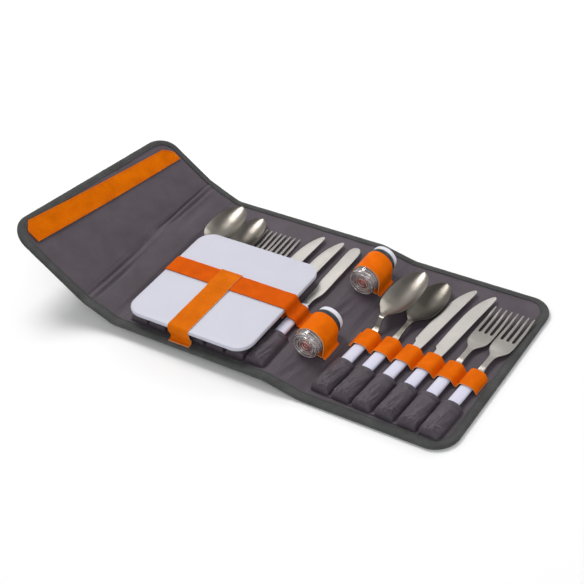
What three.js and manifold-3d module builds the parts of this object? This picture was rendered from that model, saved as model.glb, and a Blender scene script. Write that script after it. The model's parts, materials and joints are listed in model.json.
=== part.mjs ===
// Folding picnic cutlery wallet, laid open.
// A five-panel fabric wallet (right panel, narrow spine, middle panel, narrow spine, closing flap)
// carries thirteen pieces of cutlery in sewn pockets and elastic loops, a cutting board under two
// straps, and two shakers on the right-hand spine.
// Millimetres, +Z up, +X across the row of cutlery, +Y from the handle ends to the tips.
// Origin: middle of the underside of the padded back, on the surface the wallet lies on.

import * as THREE from 'three';
import { mergeVertices } from 'three/addons/utils/BufferGeometryUtils.js';
import Module from 'manifold-3d';

// ---------------------------------------------------------------- driving dimensions
const DEPTH = 250;            // size of every panel along Y
const MIDDLE_W = 201;         // middle panel, fold to fold
const SPINE_R_W = 43.2;       // spine between middle and right panel
const RIGHT_W = 172.4;        // right panel, fold to free edge
const SPINE_L_W = 42;         // spine between middle panel and flap
const FLAP_W = 103;           // closing flap, fold to free edge
const CORNER_R = 27;          // rounded free corners
const SLEEVE_T = 3.6;         // outer cover + board + lining
const SKIN = 0.7;             // one side of the sleeve
const BOARD_T = 1.6;          // stiffening board inside a sleeve
const LIP = 0.5;              // binding tape thickness on each face
const BIND_NEAR = 12;         // binding width, near, right and flap edges
const BIND_FAR = 8;           // binding width, far edge
const FOLD_GAP = 1.5;         // panel edge to fold axis
const RIGHT_SURF_Z = 4.4;     // lining surface of the right panel above the ground
const MIDDLE_SURF_Z = 14.4;   // lining surface of the middle panel above the ground
const SPINE_L_DEG = 24.7;     // left spine, rise from the horizontal
const FLAP_DEG = 40.3;        // flap, rise from the horizontal
const PAD_W = 166, PAD_D = 196, PAD_R = 16; // padded back under the middle panel

const PITCH = 25.7;           // pocket pitch
const POCKET_LEN = 45;        // pocket length
const POCKET_Y = 17;          // pocket bottom, from the near edge
const BAND_Y = 88, BAND_W = 26; // elastic band over the handles
const HANDLE_W = 14, HANDLE_T = 7.4, HANDLE_Z = 4.7, HANDLE_Y0 = 18.5, HANDLE_Y1 = 115.5;
const SET_TILT = 2.6;         // right-hand set lies fanned this much clockwise, degrees
const TANG_L = 22, TANG_W = 4.6, TANG_T = 1.5;

const CHOP_W = 160.5, CHOP_D = 155, CHOP_R = 19, CHOP_T = 5.0, CHOP_Z = 15.3, CHOP_Y0 = 7.5;
const STRAP_T = 0.9;
const STRAP_W = 25;           // cross strap
const STRAP_V_W = 27;         // lengthwise strap

const JAR_R = 15.6, JAR_L = 45, RING_L = 5.5, CAP_L = 6.5;
const JAR_U = 17.7;           // shaker axis from the middle-panel fold, along the spine

const H = DEPTH / 2;
const RAD = Math.PI / 180;
const SPINE_R_DEG = Math.asin((MIDDLE_SURF_Z - RIGHT_SURF_Z) / SPINE_R_W) / RAD; // fall to the right

// ---------------------------------------------------------------- solid helpers
const wasm = await Module();
wasm.setup();

function toSolid(geometry) {
  const g = geometry.index ? geometry.clone() : geometry.clone();
  g.deleteAttribute('normal');
  if (g.getAttribute('uv')) g.deleteAttribute('uv');
  const m = mergeVertices(g, 1e-4);
  return new wasm.Manifold(new wasm.Mesh({
    numProp: 3,
    vertProperties: new Float32Array(m.getAttribute('position').array),
    triVerts: new Uint32Array(m.index.array),
  }));
}

function toGeometry(solid) {
  const mesh = solid.getMesh();
  const n = mesh.vertProperties.length / mesh.numProp;
  const pos = new Float32Array(n * 3);
  for (let i = 0; i < n; i++) for (let k = 0; k < 3; k++) pos[3 * i + k] = mesh.vertProperties[i * mesh.numProp + k];
  const g = new THREE.BufferGeometry();
  g.setAttribute('position', new THREE.BufferAttribute(pos, 3));
  g.setIndex(new THREE.BufferAttribute(new Uint32Array(mesh.triVerts), 1));
  g.computeVertexNormals();
  return g;
}

// flat polygon (array of [x, y]) extruded from z0 to z1
function plate(pts, z0, z1, holes = []) {
  const s = new THREE.Shape(pts.map(([x, y]) => new THREE.Vector2(x, y)));
  for (const h of holes) s.holes.push(new THREE.Path(h.map(([x, y]) => new THREE.Vector2(x, y))));
  const g = new THREE.ExtrudeGeometry(s, { depth: z1 - z0, bevelEnabled: false, curveSegments: 8 });
  g.translate(0, 0, z0);
  return g;
}

// polygon in (x, z) run along Y from y0 to y1
function alongY(pts, y0, y1) {
  const g = plate(pts.map(([x, z]) => [x, -z]), 0, y1 - y0);
  g.rotateX(-Math.PI / 2);       // (x, -z, d) -> (x, d, z)
  g.translate(0, y0, 0);
  return g;
}

// polygon in (y, z) run along X from x0 to x1
function alongX(pts, x0, x1) {
  const g = plate(pts, 0, x1 - x0);
  g.rotateX(Math.PI / 2);
  g.rotateZ(Math.PI / 2);        // (y, z, d) -> (d, y, z)
  g.translate(x0, 0, 0);
  return g;
}

function box(x0, x1, y0, y1, z0, z1) {
  const g = new THREE.BoxGeometry(x1 - x0, y1 - y0, z1 - z0);
  g.translate((x0 + x1) / 2, (y0 + y1) / 2, (z0 + z1) / 2);
  return g;
}

// closed skin through rings of equal length, each ring an array of [x, y, z]
function loft(rings) {
  const n = rings[0].length;
  const pos = [];
  const idx = [];
  rings.forEach((r) => r.forEach((p) => pos.push(...p)));
  for (let i = 0; i + 1 < rings.length; i++) {
    for (let j = 0; j < n; j++) {
      const a = i * n + j, b = i * n + ((j + 1) % n), c = a + n, d = b + n;
      idx.push(a, b, d, a, d, c);
    }
  }
  const cap = (row, flip) => {
    const r = rings[row];
    const c = [0, 1, 2].map((k) => r.reduce((s, p) => s + p[k], 0) / n);
    const ci = pos.length / 3;
    pos.push(...c);
    for (let j = 0; j < n; j++) {
      const a = row * n + j, b = row * n + ((j + 1) % n);
      if (flip) idx.push(a, ci, b); else idx.push(a, b, ci);
    }
  };
  cap(0, true);
  cap(rings.length - 1, false);
  const g = new THREE.BufferGeometry();
  g.setAttribute('position', new THREE.Float32BufferAttribute(pos, 3));
  g.setIndex(idx);
  let m = toSolid(g);
  if (m.volume() < 0) {
    const f = [];
    for (let i = 0; i < idx.length; i += 3) f.push(idx[i], idx[i + 2], idx[i + 1]);
    g.setIndex(f);
    m = toSolid(g);
  }
  return m;
}

const nodes = {};
function mesh(name, solidOrGeo, look, parent) {
  const g = solidOrGeo.isBufferGeometry ? toGeometry(toSolid(solidOrGeo)) : toGeometry(solidOrGeo);
  const m = new THREE.Mesh(g, look);
  m.name = name;
  parent.add(m);
  nodes[name] = m;
  return m;
}

// ---------------------------------------------------------------- looks
const look = (color, roughness, metalness = 0) => new THREE.MeshStandardMaterial({ color, roughness, metalness });
const LINING = look(0x5c505a, 0.75);
const BINDING = look(0x4b4e4c, 0.9);
const ORANGE = look(0xe66a08, 0.85);
const HOOK = look(0xcd6400, 0.95);
const STEEL = look(0xbfb8b0, 0.28, 1);
const HANDLE = look(0xe6e4f2, 0.35);
const CHOP = look(0xd2d3de, 0.4);
const CLEAR = look(0xc8bec4, 0.08);
const BLACK = look(0x14181f, 0.4);
const CAPWHITE = look(0xdadae2, 0.35);
const STIFF = look(0x2c2c2e, 0.8);
const PADDING = look(0x3f3d42, 0.9);

// ---------------------------------------------------------------- panels
// A panel frame has its fold at x = 0, runs to x = w, and has its lining surface at z = 0.
function freeOutline(x0, w, near, far, inset, radius) {
  // straight at the fold side, rounded at the free side
  const r = Math.max(radius - inset, 1);
  const pts = [[x0, -H + near], [w - inset - r, -H + near]];
  const steps = 7;
  for (let i = 0; i <= steps; i++) {
    const a = -90 + (90 * i) / steps;
    pts.push([w - inset - r + r * Math.cos(a * RAD), -H + near + r + r * Math.sin(a * RAD)]);
  }
  for (let i = 0; i <= steps; i++) {
    const a = (90 * i) / steps;
    pts.push([w - inset - r + r * Math.cos(a * RAD), H - far - r + r * Math.sin(a * RAD)]);
  }
  pts.push([x0, H - far]);
  const out = [];
  for (const p of pts) {
    const q = out[out.length - 1];
    if (!q || Math.hypot(p[0] - q[0], p[1] - q[1]) > 0.05) out.push(p);
  }
  return out;
}

function freePanel(prefix, w, group) {
  const g = FOLD_GAP;
  const sleeve = toSolid(plate(freeOutline(g, w, 1.5, 1.5, 1.5, CORNER_R), -SLEEVE_T, 0))
    .subtract(toSolid(box(-5, w - 9.5, -H + 9.5, H - 9.5, -SLEEVE_T + SKIN, -SKIN)));
  mesh(`${prefix}_sleeve`, sleeve, LINING, group);
  mesh(`${prefix}_stiffener`, box(g + 0.8, w - 10, -H + 10, H - 10, -SLEEVE_T + SKIN + 0.3, -SLEEVE_T + SKIN + 0.3 + BOARD_T), STIFF, group);
  const outer = toSolid(plate(freeOutline(g, w, 0, 0, 0, CORNER_R), -SLEEVE_T - 0.3 - LIP, 0.3 + LIP));
  const window = toSolid(plate(freeOutline(g - 2, w, BIND_NEAR, BIND_FAR, BIND_NEAR, CORNER_R), -8, 8));
  const groove = toSolid(plate(freeOutline(g - 2, w, 1.2, 1.2, 1.2, CORNER_R), -SLEEVE_T - 0.3, 0.3));
  mesh(`${prefix}_binding`, outer.subtract(window).subtract(groove), BINDING, group);
}

function spinePanel(prefix, w, group) {
  const g = FOLD_GAP;
  let s = toSolid(box(g, w - g, -H, H, -SLEEVE_T, 0));
  for (const [y0, y1] of [[-H, -H + BIND_NEAR], [H - BIND_FAR, H]]) {
    s = s.add(toSolid(box(g, w - g, y0, y1, -SLEEVE_T - 0.3 - LIP, 0.3 + LIP)));
  }
  s = s.subtract(toSolid(box(-5, w + 5, -H + 13, H - 13, -SLEEVE_T + SKIN, -SKIN)));
  mesh(`${prefix}_sleeve`, s, LINING, group);
  mesh(`${prefix}_stiffener`, box(g + 2, w - g - 2, -H + 13.5, H - 13.5, -SLEEVE_T + SKIN + 0.3, -SLEEVE_T + SKIN + 0.3 + BOARD_T), STIFF, group);
}

// ---------------------------------------------------------------- frames of the five panels
const wallet = new THREE.Group();
const middle = new THREE.Group();
middle.position.set(0, 0, MIDDLE_SURF_Z);
wallet.add(middle);

const spineR = new THREE.Group();
spineR.position.set(MIDDLE_W / 2, 0, MIDDLE_SURF_Z);
spineR.rotation.y = SPINE_R_DEG * RAD;
wallet.add(spineR);

const foldA = [MIDDLE_W / 2 + SPINE_R_W * Math.cos(SPINE_R_DEG * RAD), RIGHT_SURF_Z];
const right = new THREE.Group();
right.position.set(foldA[0], 0, foldA[1]);
wallet.add(right);

// left-hand panels: turned half round about Z so that local x runs outward (to the left)
const spineL = new THREE.Group();
spineL.position.set(-MIDDLE_W / 2, 0, MIDDLE_SURF_Z);
spineL.rotation.set(0, -SPINE_L_DEG * RAD, Math.PI, 'ZYX');
wallet.add(spineL);

const foldD = [-MIDDLE_W / 2 - SPINE_L_W * Math.cos(SPINE_L_DEG * RAD), MIDDLE_SURF_Z + SPINE_L_W * Math.sin(SPINE_L_DEG * RAD)];
const flap = new THREE.Group();
flap.position.set(foldD[0], 0, foldD[1]);
flap.rotation.set(0, -FLAP_DEG * RAD, Math.PI, 'ZYX');
wallet.add(flap);

// middle panel
{
  const w2 = MIDDLE_W / 2 - FOLD_GAP;
  const s = toSolid(box(-w2, w2, -H + 1.5, H - 1.5, -SLEEVE_T, 0))
    .subtract(toSolid(box(-w2 - 5, w2 + 5, -H + 13, H - 13, -SLEEVE_T + SKIN, -SKIN)));
  mesh('middle_sleeve', s, LINING, middle);
  mesh('middle_stiffener', box(-w2 + 3, w2 - 3, -H + 13.5, H - 13.5, -SLEEVE_T + SKIN + 0.3, -SLEEVE_T + SKIN + 0.3 + BOARD_T), STIFF, middle);
  const channel = (y0, y1, gy0, gy1) => toSolid(box(-w2, w2, y0, y1, -SLEEVE_T - 0.3 - LIP, 0.3 + LIP))
    .subtract(toSolid(box(-w2 - 5, w2 + 5, gy0, gy1, -SLEEVE_T - 0.3, 0.3)));
  mesh('middle_near_binding', channel(-H, -H + BIND_NEAR, -H + 1.2, -H + BIND_NEAR + 5), BINDING, middle);
  mesh('middle_far_binding', channel(H - BIND_FAR, H, H - BIND_FAR - 5, H - 1.2), BINDING, middle);
  // padded back, soft, stands the middle panel off the surface
  const r = PAD_R, hw = PAD_W / 2, hd = PAD_D / 2;
  const pts = [];
  for (const [sx, sy, a0] of [[1, 1, 0], [-1, 1, 90], [-1, -1, 180], [1, -1, 270]]) {
    for (let i = 0; i <= 4; i++) {
      const a = (a0 + (90 * i) / 4) * RAD;
      pts.push([sx * (hw - r) + r * Math.cos(a), sy * (hd - r) + r * Math.sin(a)]);
    }
  }
  mesh('middle_back_padding', plate(pts, -MIDDLE_SURF_Z, -SLEEVE_T - 0.3), PADDING, middle);
}
spinePanel('right_spine', SPINE_R_W, spineR);
freePanel('right_panel', RIGHT_W, right);
spinePanel('left_spine', SPINE_L_W, spineL);
freePanel('flap', FLAP_W, flap);

// closure strips
{
  const y0 = -104, y1 = 104, c = 9;
  const x1 = FLAP_W - BIND_NEAR - 1.5, x0 = x1 - 23;
  mesh('flap_hook_strip', plate([[x0, y0], [x1 - c, y0], [x1, y0 + c], [x1, y1 - c], [x1 - c, y1], [x0, y1]], 0.3, 1.7), HOOK, flap);
  // mating strip on the outside (underside) of the right panel
  mesh('outside_loop_strip', box(RIGHT_W - 70, RIGHT_W - 46, -100, 100, -SLEEVE_T - 0.75, -SLEEVE_T - 0.2), HOOK, right);
}

// ---------------------------------------------------------------- pockets and elastic over handles
const halfArch = { pocket: [[-10.2, 0.3], [-10.0, 3.2], [-8.4, 6.8], [-4.8, 8.9], [0, 9.3]], band: [[-8.6, 0.3], [-8.5, 3.4], [-7.3, 6.6], [-4.2, 8.6], [0, 9.0]] };
function archRow(kind, t, centres, x0, x1) {
  const inner = halfArch[kind];
  const full = [...inner, ...inner.slice(0, -1).reverse().map(([x, z]) => [-x, z])];
  const grow = full.map(([x, z], i) => {
    if (i === 0) return [x - t, z];
    if (i === full.length - 1) return [x + t, z];
    const a = full[i - 1], b = full[i + 1];
    const dx = b[0] - a[0], dz = b[1] - a[1], l = Math.hypot(dx, dz);
    return [x - (dz / l) * t, z + (dx / l) * t];
  });
  const top = [[x0, 0.3 + t]], bottom = [[x0, 0.3]];
  for (const c of centres) {
    grow.forEach(([x, z], i) => {
      if (i === 0 || i === grow.length - 1) top.push([c + x, 0.3 + t]); else top.push([c + x, z]);
    });
    full.forEach(([x, z]) => bottom.push([c + x, z]));
  }
  top.push([x1, 0.3 + t]);
  bottom.push([x1, 0.3]);
  return [top, bottom, [...bottom, ...top.slice().reverse()]];
}

function pocketRow(name, centres, x0, x1, group, cut = 0) {
  const [top, , section] = archRow('pocket', 0.7, centres, x0, x1);
  const y0 = -H + POCKET_Y, y1 = y0 + POCKET_LEN;
  let s = toSolid(alongY(section, y0, y1));
  // closed pocket bottoms
  const end = [[x0, 0.3], ...top, [x1, 0.3]];
  s = s.add(toSolid(alongY(end, y0, y0 + 0.9)));
  if (cut) s = s.subtract(toSolid(plate([[x1 - cut, y0 - 1], [x1 + 1, y0 - 1], [x1 + 1, y0 + cut]], -1, 1.5)));
  mesh(name, s, LINING, group);
}

function elasticRow(name, centres, x0, x1, group) {
  const [, , section] = archRow('band', 0.8, centres, x0, x1);
  mesh(name, alongY(section, -H + BAND_Y, -H + BAND_Y + BAND_W), ORANGE, group);
}

// ---------------------------------------------------------------- cutlery
// Local frame of one piece: x = 0 on its axis, y measured from the wallet's near edge (less H), z above the lining.
const E = (y) => y - H;
function handle(name, group) {
  const st = [[0, 0.45, 0.5], [1.2, 0.74, 0.78], [4, 0.93, 0.94], [14, 1, 1], [52, 0.97, 0.97], [86, 0.9, 0.9], [94, 0.82, 0.8], [97.5, 0.62, 0.6]];
  const n = 12;
  const rings = st.map(([d, kw, kt]) => {
    const r = [];
    for (let j = 0; j < n; j++) {
      const a = (2 * Math.PI * (j + 0.5)) / n;
      r.push([(HANDLE_W / 2) * kw * Math.cos(a), E(HANDLE_Y0) + d, HANDLE_Z + (HANDLE_T / 2) * kt * Math.sin(a)]);
    }
    return r;
  });
  const slot = toSolid(box(-TANG_W / 2 - 0.3, TANG_W / 2 + 0.3, E(HANDLE_Y1 - TANG_L - 0.6), E(HANDLE_Y1 + 5), HANDLE_Z - TANG_T / 2 - 0.3, HANDLE_Z + TANG_T / 2 + 0.3));
  mesh(name, loft(rings).subtract(slot), HANDLE, group);
}

const TANG_Y0 = HANDLE_Y1 - TANG_L;
// rectangular rings along a centre line: [y, half width, thickness, centre z, centre x]
function ribbon(list) {
  return loft(list.map(([y, hw, t, z, x = 0]) => [[x - hw, E(y), z - t / 2], [x + hw, E(y), z - t / 2], [x + hw, E(y), z + t / 2], [x - hw, E(y), z + t / 2]]));
}

function spoonHead(name, rim, group, cx = 0) {
  const t = 1.0, depth = 6.2;
  // [y, half width, crown of the centre line, bowl depth]; shaft first, then bowl to the tip
  const rows = [
    [TANG_Y0, TANG_W / 2, HANDLE_Z, 0, 0], [HANDLE_Y1 + 0.5, TANG_W / 2, HANDLE_Z, 0, 0], [HANDLE_Y1 + 1.5, 4.2, HANDLE_Z, 0, 0], [128, 3.3, HANDLE_Z + 0.35 * (rim - HANDLE_Z), 0, 0.35],
    [142, 3.2, rim - 1.4, 0, 0.8], [148, 4.4, rim, 0.3, 1], [153, 9.6, rim, 1.8, 1], [159, 14.8, rim, 3.6, 1], [168, 18.6, rim, 5.3, 1], [180, 19.8, rim, depth, 1],
    [192, 18.7, rim, 5.7, 1], [203, 15.6, rim, 4.3, 1], [211, 10.8, rim, 2.6, 1], [215.5, 6.2, rim, 1.2, 1], [217.5, 2.2, rim, 0.4, 1],
  ];
  const M = 7;
  const rings = rows.map(([y, hw, z, d, f]) => {
    const topP = [], botP = [];
    const tt = y < HANDLE_Y1 + 1 ? TANG_T : y < 145 ? 2.0 : t;
    for (let j = 0; j < M; j++) {
      const u = -1 + (2 * j) / (M - 1);
      const dz = -d * (1 - Math.abs(u) ** 2.2);
      const x = cx * Math.max(0, (y - 115) / 70) + hw * u;
      topP.push([x, E(y), z + dz + (y < 145 ? tt / 2 : 0)]);
      botP.push([x, E(y), z + dz - (y < 145 ? tt / 2 : tt)]);
    }
    return [...topP, ...botP.reverse()];
  });
  mesh(name, loft(rings), STEEL, group);
}

function forkHead(name, group, lean = 0, lift = 0, curl = 1) {
  const z0 = HANDLE_Z, t = 1.5;
  const lx = (y) => (lean * Math.max(0, y - 115)) / 100;
  const palm = ribbon([
    [TANG_Y0, TANG_W / 2, TANG_T, z0], [HANDLE_Y1 + 0.5, TANG_W / 2, TANG_T, z0], [HANDLE_Y1 + 1.5, 4.1, TANG_T, z0], [126, 3.2, 2, z0 + 0.6, lx(126)], [140, 3.4, 2, z0 + 0.4, lx(140)],
    [146, 5.4, 1.8, z0 - 0.6 + lift / 2, lx(146)], [152, 9.6, t, z0 - 1.7 + lift, lx(152)], [158, 11.6, t, z0 - 2.6 + lift, lx(158)], [166, 12.2, t, z0 - 3.1 + lift, lx(166)], [174, 12.2, t, z0 - 3.15 + lift, lx(174)],
  ]);
  let s = palm;
  for (let k = 0; k < 4; k++) {
    const x = -10.4 + (20.8 * k) / 3;
    s = s.add(ribbon([
      [169, 1.75, t, z0 - 3.12 + lift, x + lx(169)], [180, 1.75, t, z0 - 3.1 + lift, x * 0.99 + lx(180)], [196, 1.6, t, z0 - 3.1 + 0.6 * curl + lift, x * 0.97 + lx(196)], [208, 1.35, 1.5, z0 - 3.1 + 1.9 * curl + lift, x * 0.95 + lx(208)], [213.5, 0.8, 1, z0 - 3.1 + 2.7 * curl + lift, x * 0.94 + lx(213.5)],
    ]));
  }
  mesh(name, s, STEEL, group);
}

function knifeHead(name, group) {
  const pts = [
    [-TANG_W / 2, E(TANG_Y0)], [TANG_W / 2, E(TANG_Y0)], [TANG_W / 2, E(HANDLE_Y1 + 0.5)], [5.6, E(HANDLE_Y1 + 0.5)], [6.2, E(122)], [7.0, E(140)], [7.6, E(165)], [8.2, E(190)], [8.9, E(210)], [9.2, E(220)],
    [8.9, E(224.5)], [7.6, E(227)], [5.6, E(227)], [2.6, E(224)], [-0.8, E(218.5)], [-4.2, E(210)], [-6.8, E(199)], [-8.1, E(185)], [-8.5, E(165)], [-8.4, E(140)], [-8.0, E(129)], [-7.4, E(127)], [-5.2, E(126.5)], [-4.6, E(122)], [-4.6, E(HANDLE_Y1 + 0.5)], [-TANG_W / 2, E(HANDLE_Y1 + 0.5)],
  ];
  mesh(name, plate(pts, HANDLE_Z - TANG_T / 2, HANDLE_Z + TANG_T / 2), STEEL, group);
}

function spreaderHead(name, group) {
  const pts = [
    [-TANG_W / 2, E(TANG_Y0)], [TANG_W / 2, E(TANG_Y0)], [TANG_W / 2, E(HANDLE_Y1 + 0.5)], [4.2, E(HANDLE_Y1 + 0.5)], [4.0, E(124)], [5.4, E(130)], [8.2, E(137)], [8.7, E(142)], [8.7, E(200)], [8.6, E(214)], [7.4, E(220)], [4.6, E(224.6)], [0.6, E(226)], [-3.6, E(224.4)], [-6.0, E(220)], [-6.6, E(214)],
    [-6.6, E(160)], [-6.4, E(153)], [-4.6, E(150)], [-4.8, E(138)], [-4.4, E(128)], [-4.0, E(124)], [-4.2, E(HANDLE_Y1 + 0.5)], [-TANG_W / 2, E(HANDLE_Y1 + 0.5)],
  ];
  mesh(name, plate(pts, HANDLE_Z - TANG_T / 2, HANDLE_Z + TANG_T / 2), STEEL, group);
}

// right-hand set, fanned clockwise about a point on the elastic band
const SET_PIVOT = [84.2, E(101)];
const setR = new THREE.Group();
setR.position.set(SET_PIVOT[0], SET_PIVOT[1], 0);
setR.rotation.z = -SET_TILT * RAD;
right.add(setR);
const inR = new THREE.Group();
inR.position.set(-SET_PIVOT[0], -SET_PIVOT[1], 0);
setR.add(inR);
const rightX = [0, 1, 2, 3, 4, 5].map((i) => 20 + PITCH * i);
pocketRow('right_pocket_row', rightX, 7.0, 160.5, inR, 7);
elasticRow('right_elastic_band', rightX, 5.0, 159.4, inR);

function place(x, parent, tilt = 0) {
  const g = new THREE.Group();
  g.position.set(x, E(101), 0);
  g.rotation.z = -tilt * RAD;
  const inner = new THREE.Group();
  inner.position.set(0, -E(101), 0);
  g.add(inner);
  parent.add(g);
  return inner;
}

const RIM_LOW = 8.4, RIM_HIGH = 15.5;
const rightTilt = [1.0, 1.2, 1.5, 0.7, 0, 0.4];
const rightKinds = ['spoon_1', 'spoon_2', 'knife_1', 'knife_2', 'fork_1', 'fork_2'];
rightKinds.forEach((kind, i) => {
  const g = place(rightX[i], inR, rightTilt[i]);
  handle(`right_${kind}_handle`, g);
  const head = `right_${kind}_head`;
  if (kind === 'spoon_1') spoonHead(head, RIM_HIGH, g);
  if (kind === 'spoon_2') spoonHead(head, RIM_LOW, g);
  if (kind.startsWith('knife')) knifeHead(head, g);
  if (kind === 'fork_1') forkHead(head, g, 0, 0.7);
  if (kind === 'fork_2') forkHead(head, g, 0, 0.7);
});

// middle set
const middleX = [0, 1, 2, 3, 4, 5, 6].map((i) => -75.2 + 25.8 * i);
pocketRow('middle_pocket_row', middleX, -88.2, 92.8, middle);
elasticRow('middle_elastic_band', middleX.slice(0, 6), -86.2, 64.4, middle);
const middleTilt = [-1.3, 0, 0, 0, 0, 0];
const middleKinds = ['spoon_1', 'spoon_2', 'fork_1', 'fork_2', 'knife_1', 'knife_2'];
middleKinds.forEach((kind, i) => {
  const g = place(middleX[i], middle, middleTilt[i]);
  handle(`middle_${kind}_handle`, g);
  const head = `middle_${kind}_head`;
  if (kind === 'spoon_1') spoonHead(head, 15.0, g, 0);
  if (kind === 'spoon_2') spoonHead(head, 8.3, g, 0);
  if (kind === 'fork_1') forkHead(head, g, -3.0, 0.15, 0.1);
  if (kind === 'fork_2') forkHead(head, g, -3.0, 0.15, 0.1);
  if (kind.startsWith('knife')) knifeHead(head, g);
});
{
  const g = place(middleX[6], middle);
  handle('spreader_handle', g);
  spreaderHead('spreader_head', g);
}

// ---------------------------------------------------------------- cutting board and straps
const CHOP_X0 = -85.8, CHOP_X1 = CHOP_X0 + CHOP_W;
{
  const r = CHOP_R, x0 = CHOP_X0, x1 = CHOP_X1, y0 = E(CHOP_Y0), y1 = E(CHOP_Y0 + CHOP_D);
  const pts = [];
  for (const [cx, cy, a0] of [[x1 - r, y1 - r, 0], [x0 + r, y1 - r, 90], [x0 + r, y0 + r, 180], [x1 - r, y0 + r, 270]]) {
    for (let i = 0; i <= 6; i++) {
      const a = (a0 + (90 * i) / 6) * RAD;
      pts.push([cx + r * Math.cos(a), cy + r * Math.sin(a)]);
    }
  }
  const s = new THREE.Shape(pts.map(([x, y]) => new THREE.Vector2(x, y)));
  const b = 0.8;
  const g = new THREE.ExtrudeGeometry(s, { depth: CHOP_T - 2 * b, bevelEnabled: true, bevelThickness: b, bevelSize: b, bevelOffset: -b, bevelSegments: 1, curveSegments: 6 });
  g.translate(0, 0, CHOP_Z + b);
  mesh('cutting_board', g, CHOP, middle);
}

// strip of constant thickness along an open path in the plane (a, b); path = outer side
function stripPolygon(path, t) {
  const off = path.map((p, i) => {
    const q0 = path[Math.max(0, i - 1)], q1 = path[Math.min(path.length - 1, i + 1)];
    const a = i > 0 ? [p[0] - q0[0], p[1] - q0[1]] : [q1[0] - p[0], q1[1] - p[1]];
    const b = i < path.length - 1 ? [q1[0] - p[0], q1[1] - p[1]] : a;
    const na = [a[1] / Math.hypot(...a), -a[0] / Math.hypot(...a)];
    const nb = [b[1] / Math.hypot(...b), -b[0] / Math.hypot(...b)];
    const s = [na[0] + nb[0], na[1] + nb[1]];
    const l = Math.hypot(...s);
    const k = t / (l / 2) / l;
    return [p[0] + s[0] * k, p[1] + s[1] * k];
  });
  return [...path, ...off.reverse()];
}

const CHOP_TOP = CHOP_Z + CHOP_T;
{
  // cross strap: sewn down left of the board, over it, down over the spreader handle, sewn down again
  const t = STRAP_T, zt = CHOP_TOP + 0.4 + t;
  const sx = middleX[6];
  const path = [
    [CHOP_X0 - 8.2, 0.4 + t], [CHOP_X0 - 1.6, 0.4 + t], [CHOP_X0 - 1.6, zt - 2], [CHOP_X0 + 0.2, zt], [CHOP_X1 - 0.4, zt], [CHOP_X1 + 1.5, zt - 2.2], [CHOP_X1 + 2.2, 12.6], [sx + 2, 10.6], [sx + 6.2, 8.9], [sx + 8.8, 6.0], [sx + 9.4, 1.3 + t], [sx + 11, 0.4 + t], [sx + 16.5, 0.4 + t],
  ];
  mesh('cross_strap', alongY(stripPolygon(path, t), E(84), E(84 + STRAP_W)), ORANGE, middle);

  // lengthwise strap: sewn at the near edge, up and over the board, folded round the cross strap
  const z2 = zt + 0.4 + t;
  const lx = -11.2;
  const path2 = [
    [E(3.5), LIP + 0.3 + 0.3 + t], [E(8.6), LIP + 0.3 + 0.3 + t], [E(9.2), 3.2], [E(CHOP_Y0 - 1.5), 13.6], [E(CHOP_Y0 - 1.5), CHOP_TOP - 0.4], [E(CHOP_Y0 + 0.6), CHOP_TOP + 0.4 + t], [E(78), CHOP_TOP + 0.4 + t], [E(82.6), z2], [E(84 + STRAP_W + 0.7), z2], [E(84 + STRAP_W + 1.8), z2 - 1.2], [E(84 + STRAP_W + 1.8), CHOP_TOP + 0.6],
  ];
  const g = alongX(stripPolygon(path2, t), lx - STRAP_V_W / 2, lx + STRAP_V_W / 2);
  mesh('lengthwise_strap', g, ORANGE, middle);
}

// ---------------------------------------------------------------- shakers on the right spine
function shaker(prefix, y0, loopY, loopW) {
  const g = new THREE.Group();
  const zc = JAR_R + 1.2;
  g.position.set(JAR_U, 0, zc);
  spineR.add(g);
  const turn = (profile, seg = 18) => {
    const l = new THREE.LatheGeometry(profile.map(([r, y]) => new THREE.Vector2(r, y)), seg);
    return l;
  };
  const solid = (profile, seg) => {
    let m = toSolid(turn(profile, seg));
    if (m.volume() < 0) m = toSolid(turn(profile.slice().reverse(), seg));
    return m;
  };
  const R = JAR_R, L = JAR_L;
  // clear jar, thick stepped base at the near end, open at the far end
  mesh(`${prefix}_jar`, solid([[0, y0 + 1.2], [8, y0 + 1.2], [9.5, y0], [R - 1.6, y0], [R, y0 + 1.8], [R, y0 + L - 5], [R - 2.2, y0 + L - 4.6], [R - 2.2, y0 + L], [R - 3.6, y0 + L], [R - 3.6, y0 + 8], [R - 6, y0 + 5], [0, y0 + 5]]), CLEAR, g);
  // black collar with shaker plate
  mesh(`${prefix}_collar`, solid([[0, y0 + L + 0.3], [R - 1.9, y0 + L + 0.3], [R - 1.9, y0 + L - 4.3], [R, y0 + L - 4.3], [R, y0 + L - 4.3 + RING_L], [R - 3.2, y0 + L - 4.3 + RING_L], [0, y0 + L - 4.3 + RING_L]]), BLACK, g);
  const yc = y0 + L - 4.3 + RING_L + 0.3;
  mesh(`${prefix}_cap`, solid([[0, yc], [R - 0.6, yc], [R - 0.6, yc + CAP_L - 1.4], [R - 2.2, yc + CAP_L], [0, yc + CAP_L]]), CAPWHITE, g);
  // elastic loop sewn to the lining on both sides
  const ro = R + 0.5 + STRAP_T;
  const path = [];
  const z0 = 0.4 - zc;
  path.push([-16.0, z0]);
  for (let i = 0; i <= 8; i++) {
    const a = (198 - (206 * i) / 8) * RAD;
    path.push([ro * Math.cos(a), ro * Math.sin(a)]);
  }
  path.push([17.6, z0 + STRAP_T], [23.0, z0 + STRAP_T]);
  mesh(`${prefix}_loop`, alongY(stripPolygon(path, STRAP_T), loopY, loopY + loopW), ORANGE, g);
}
shaker('near_shaker', E(50), E(60), 30);
shaker('far_shaker', E(165), E(175), 30);

export default wallet;
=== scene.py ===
import json
import math
import bpy
import bmesh
import numpy as np
from mathutils import Matrix, Vector
from mathutils.geometry import delaunay_2d_cdt


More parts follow.
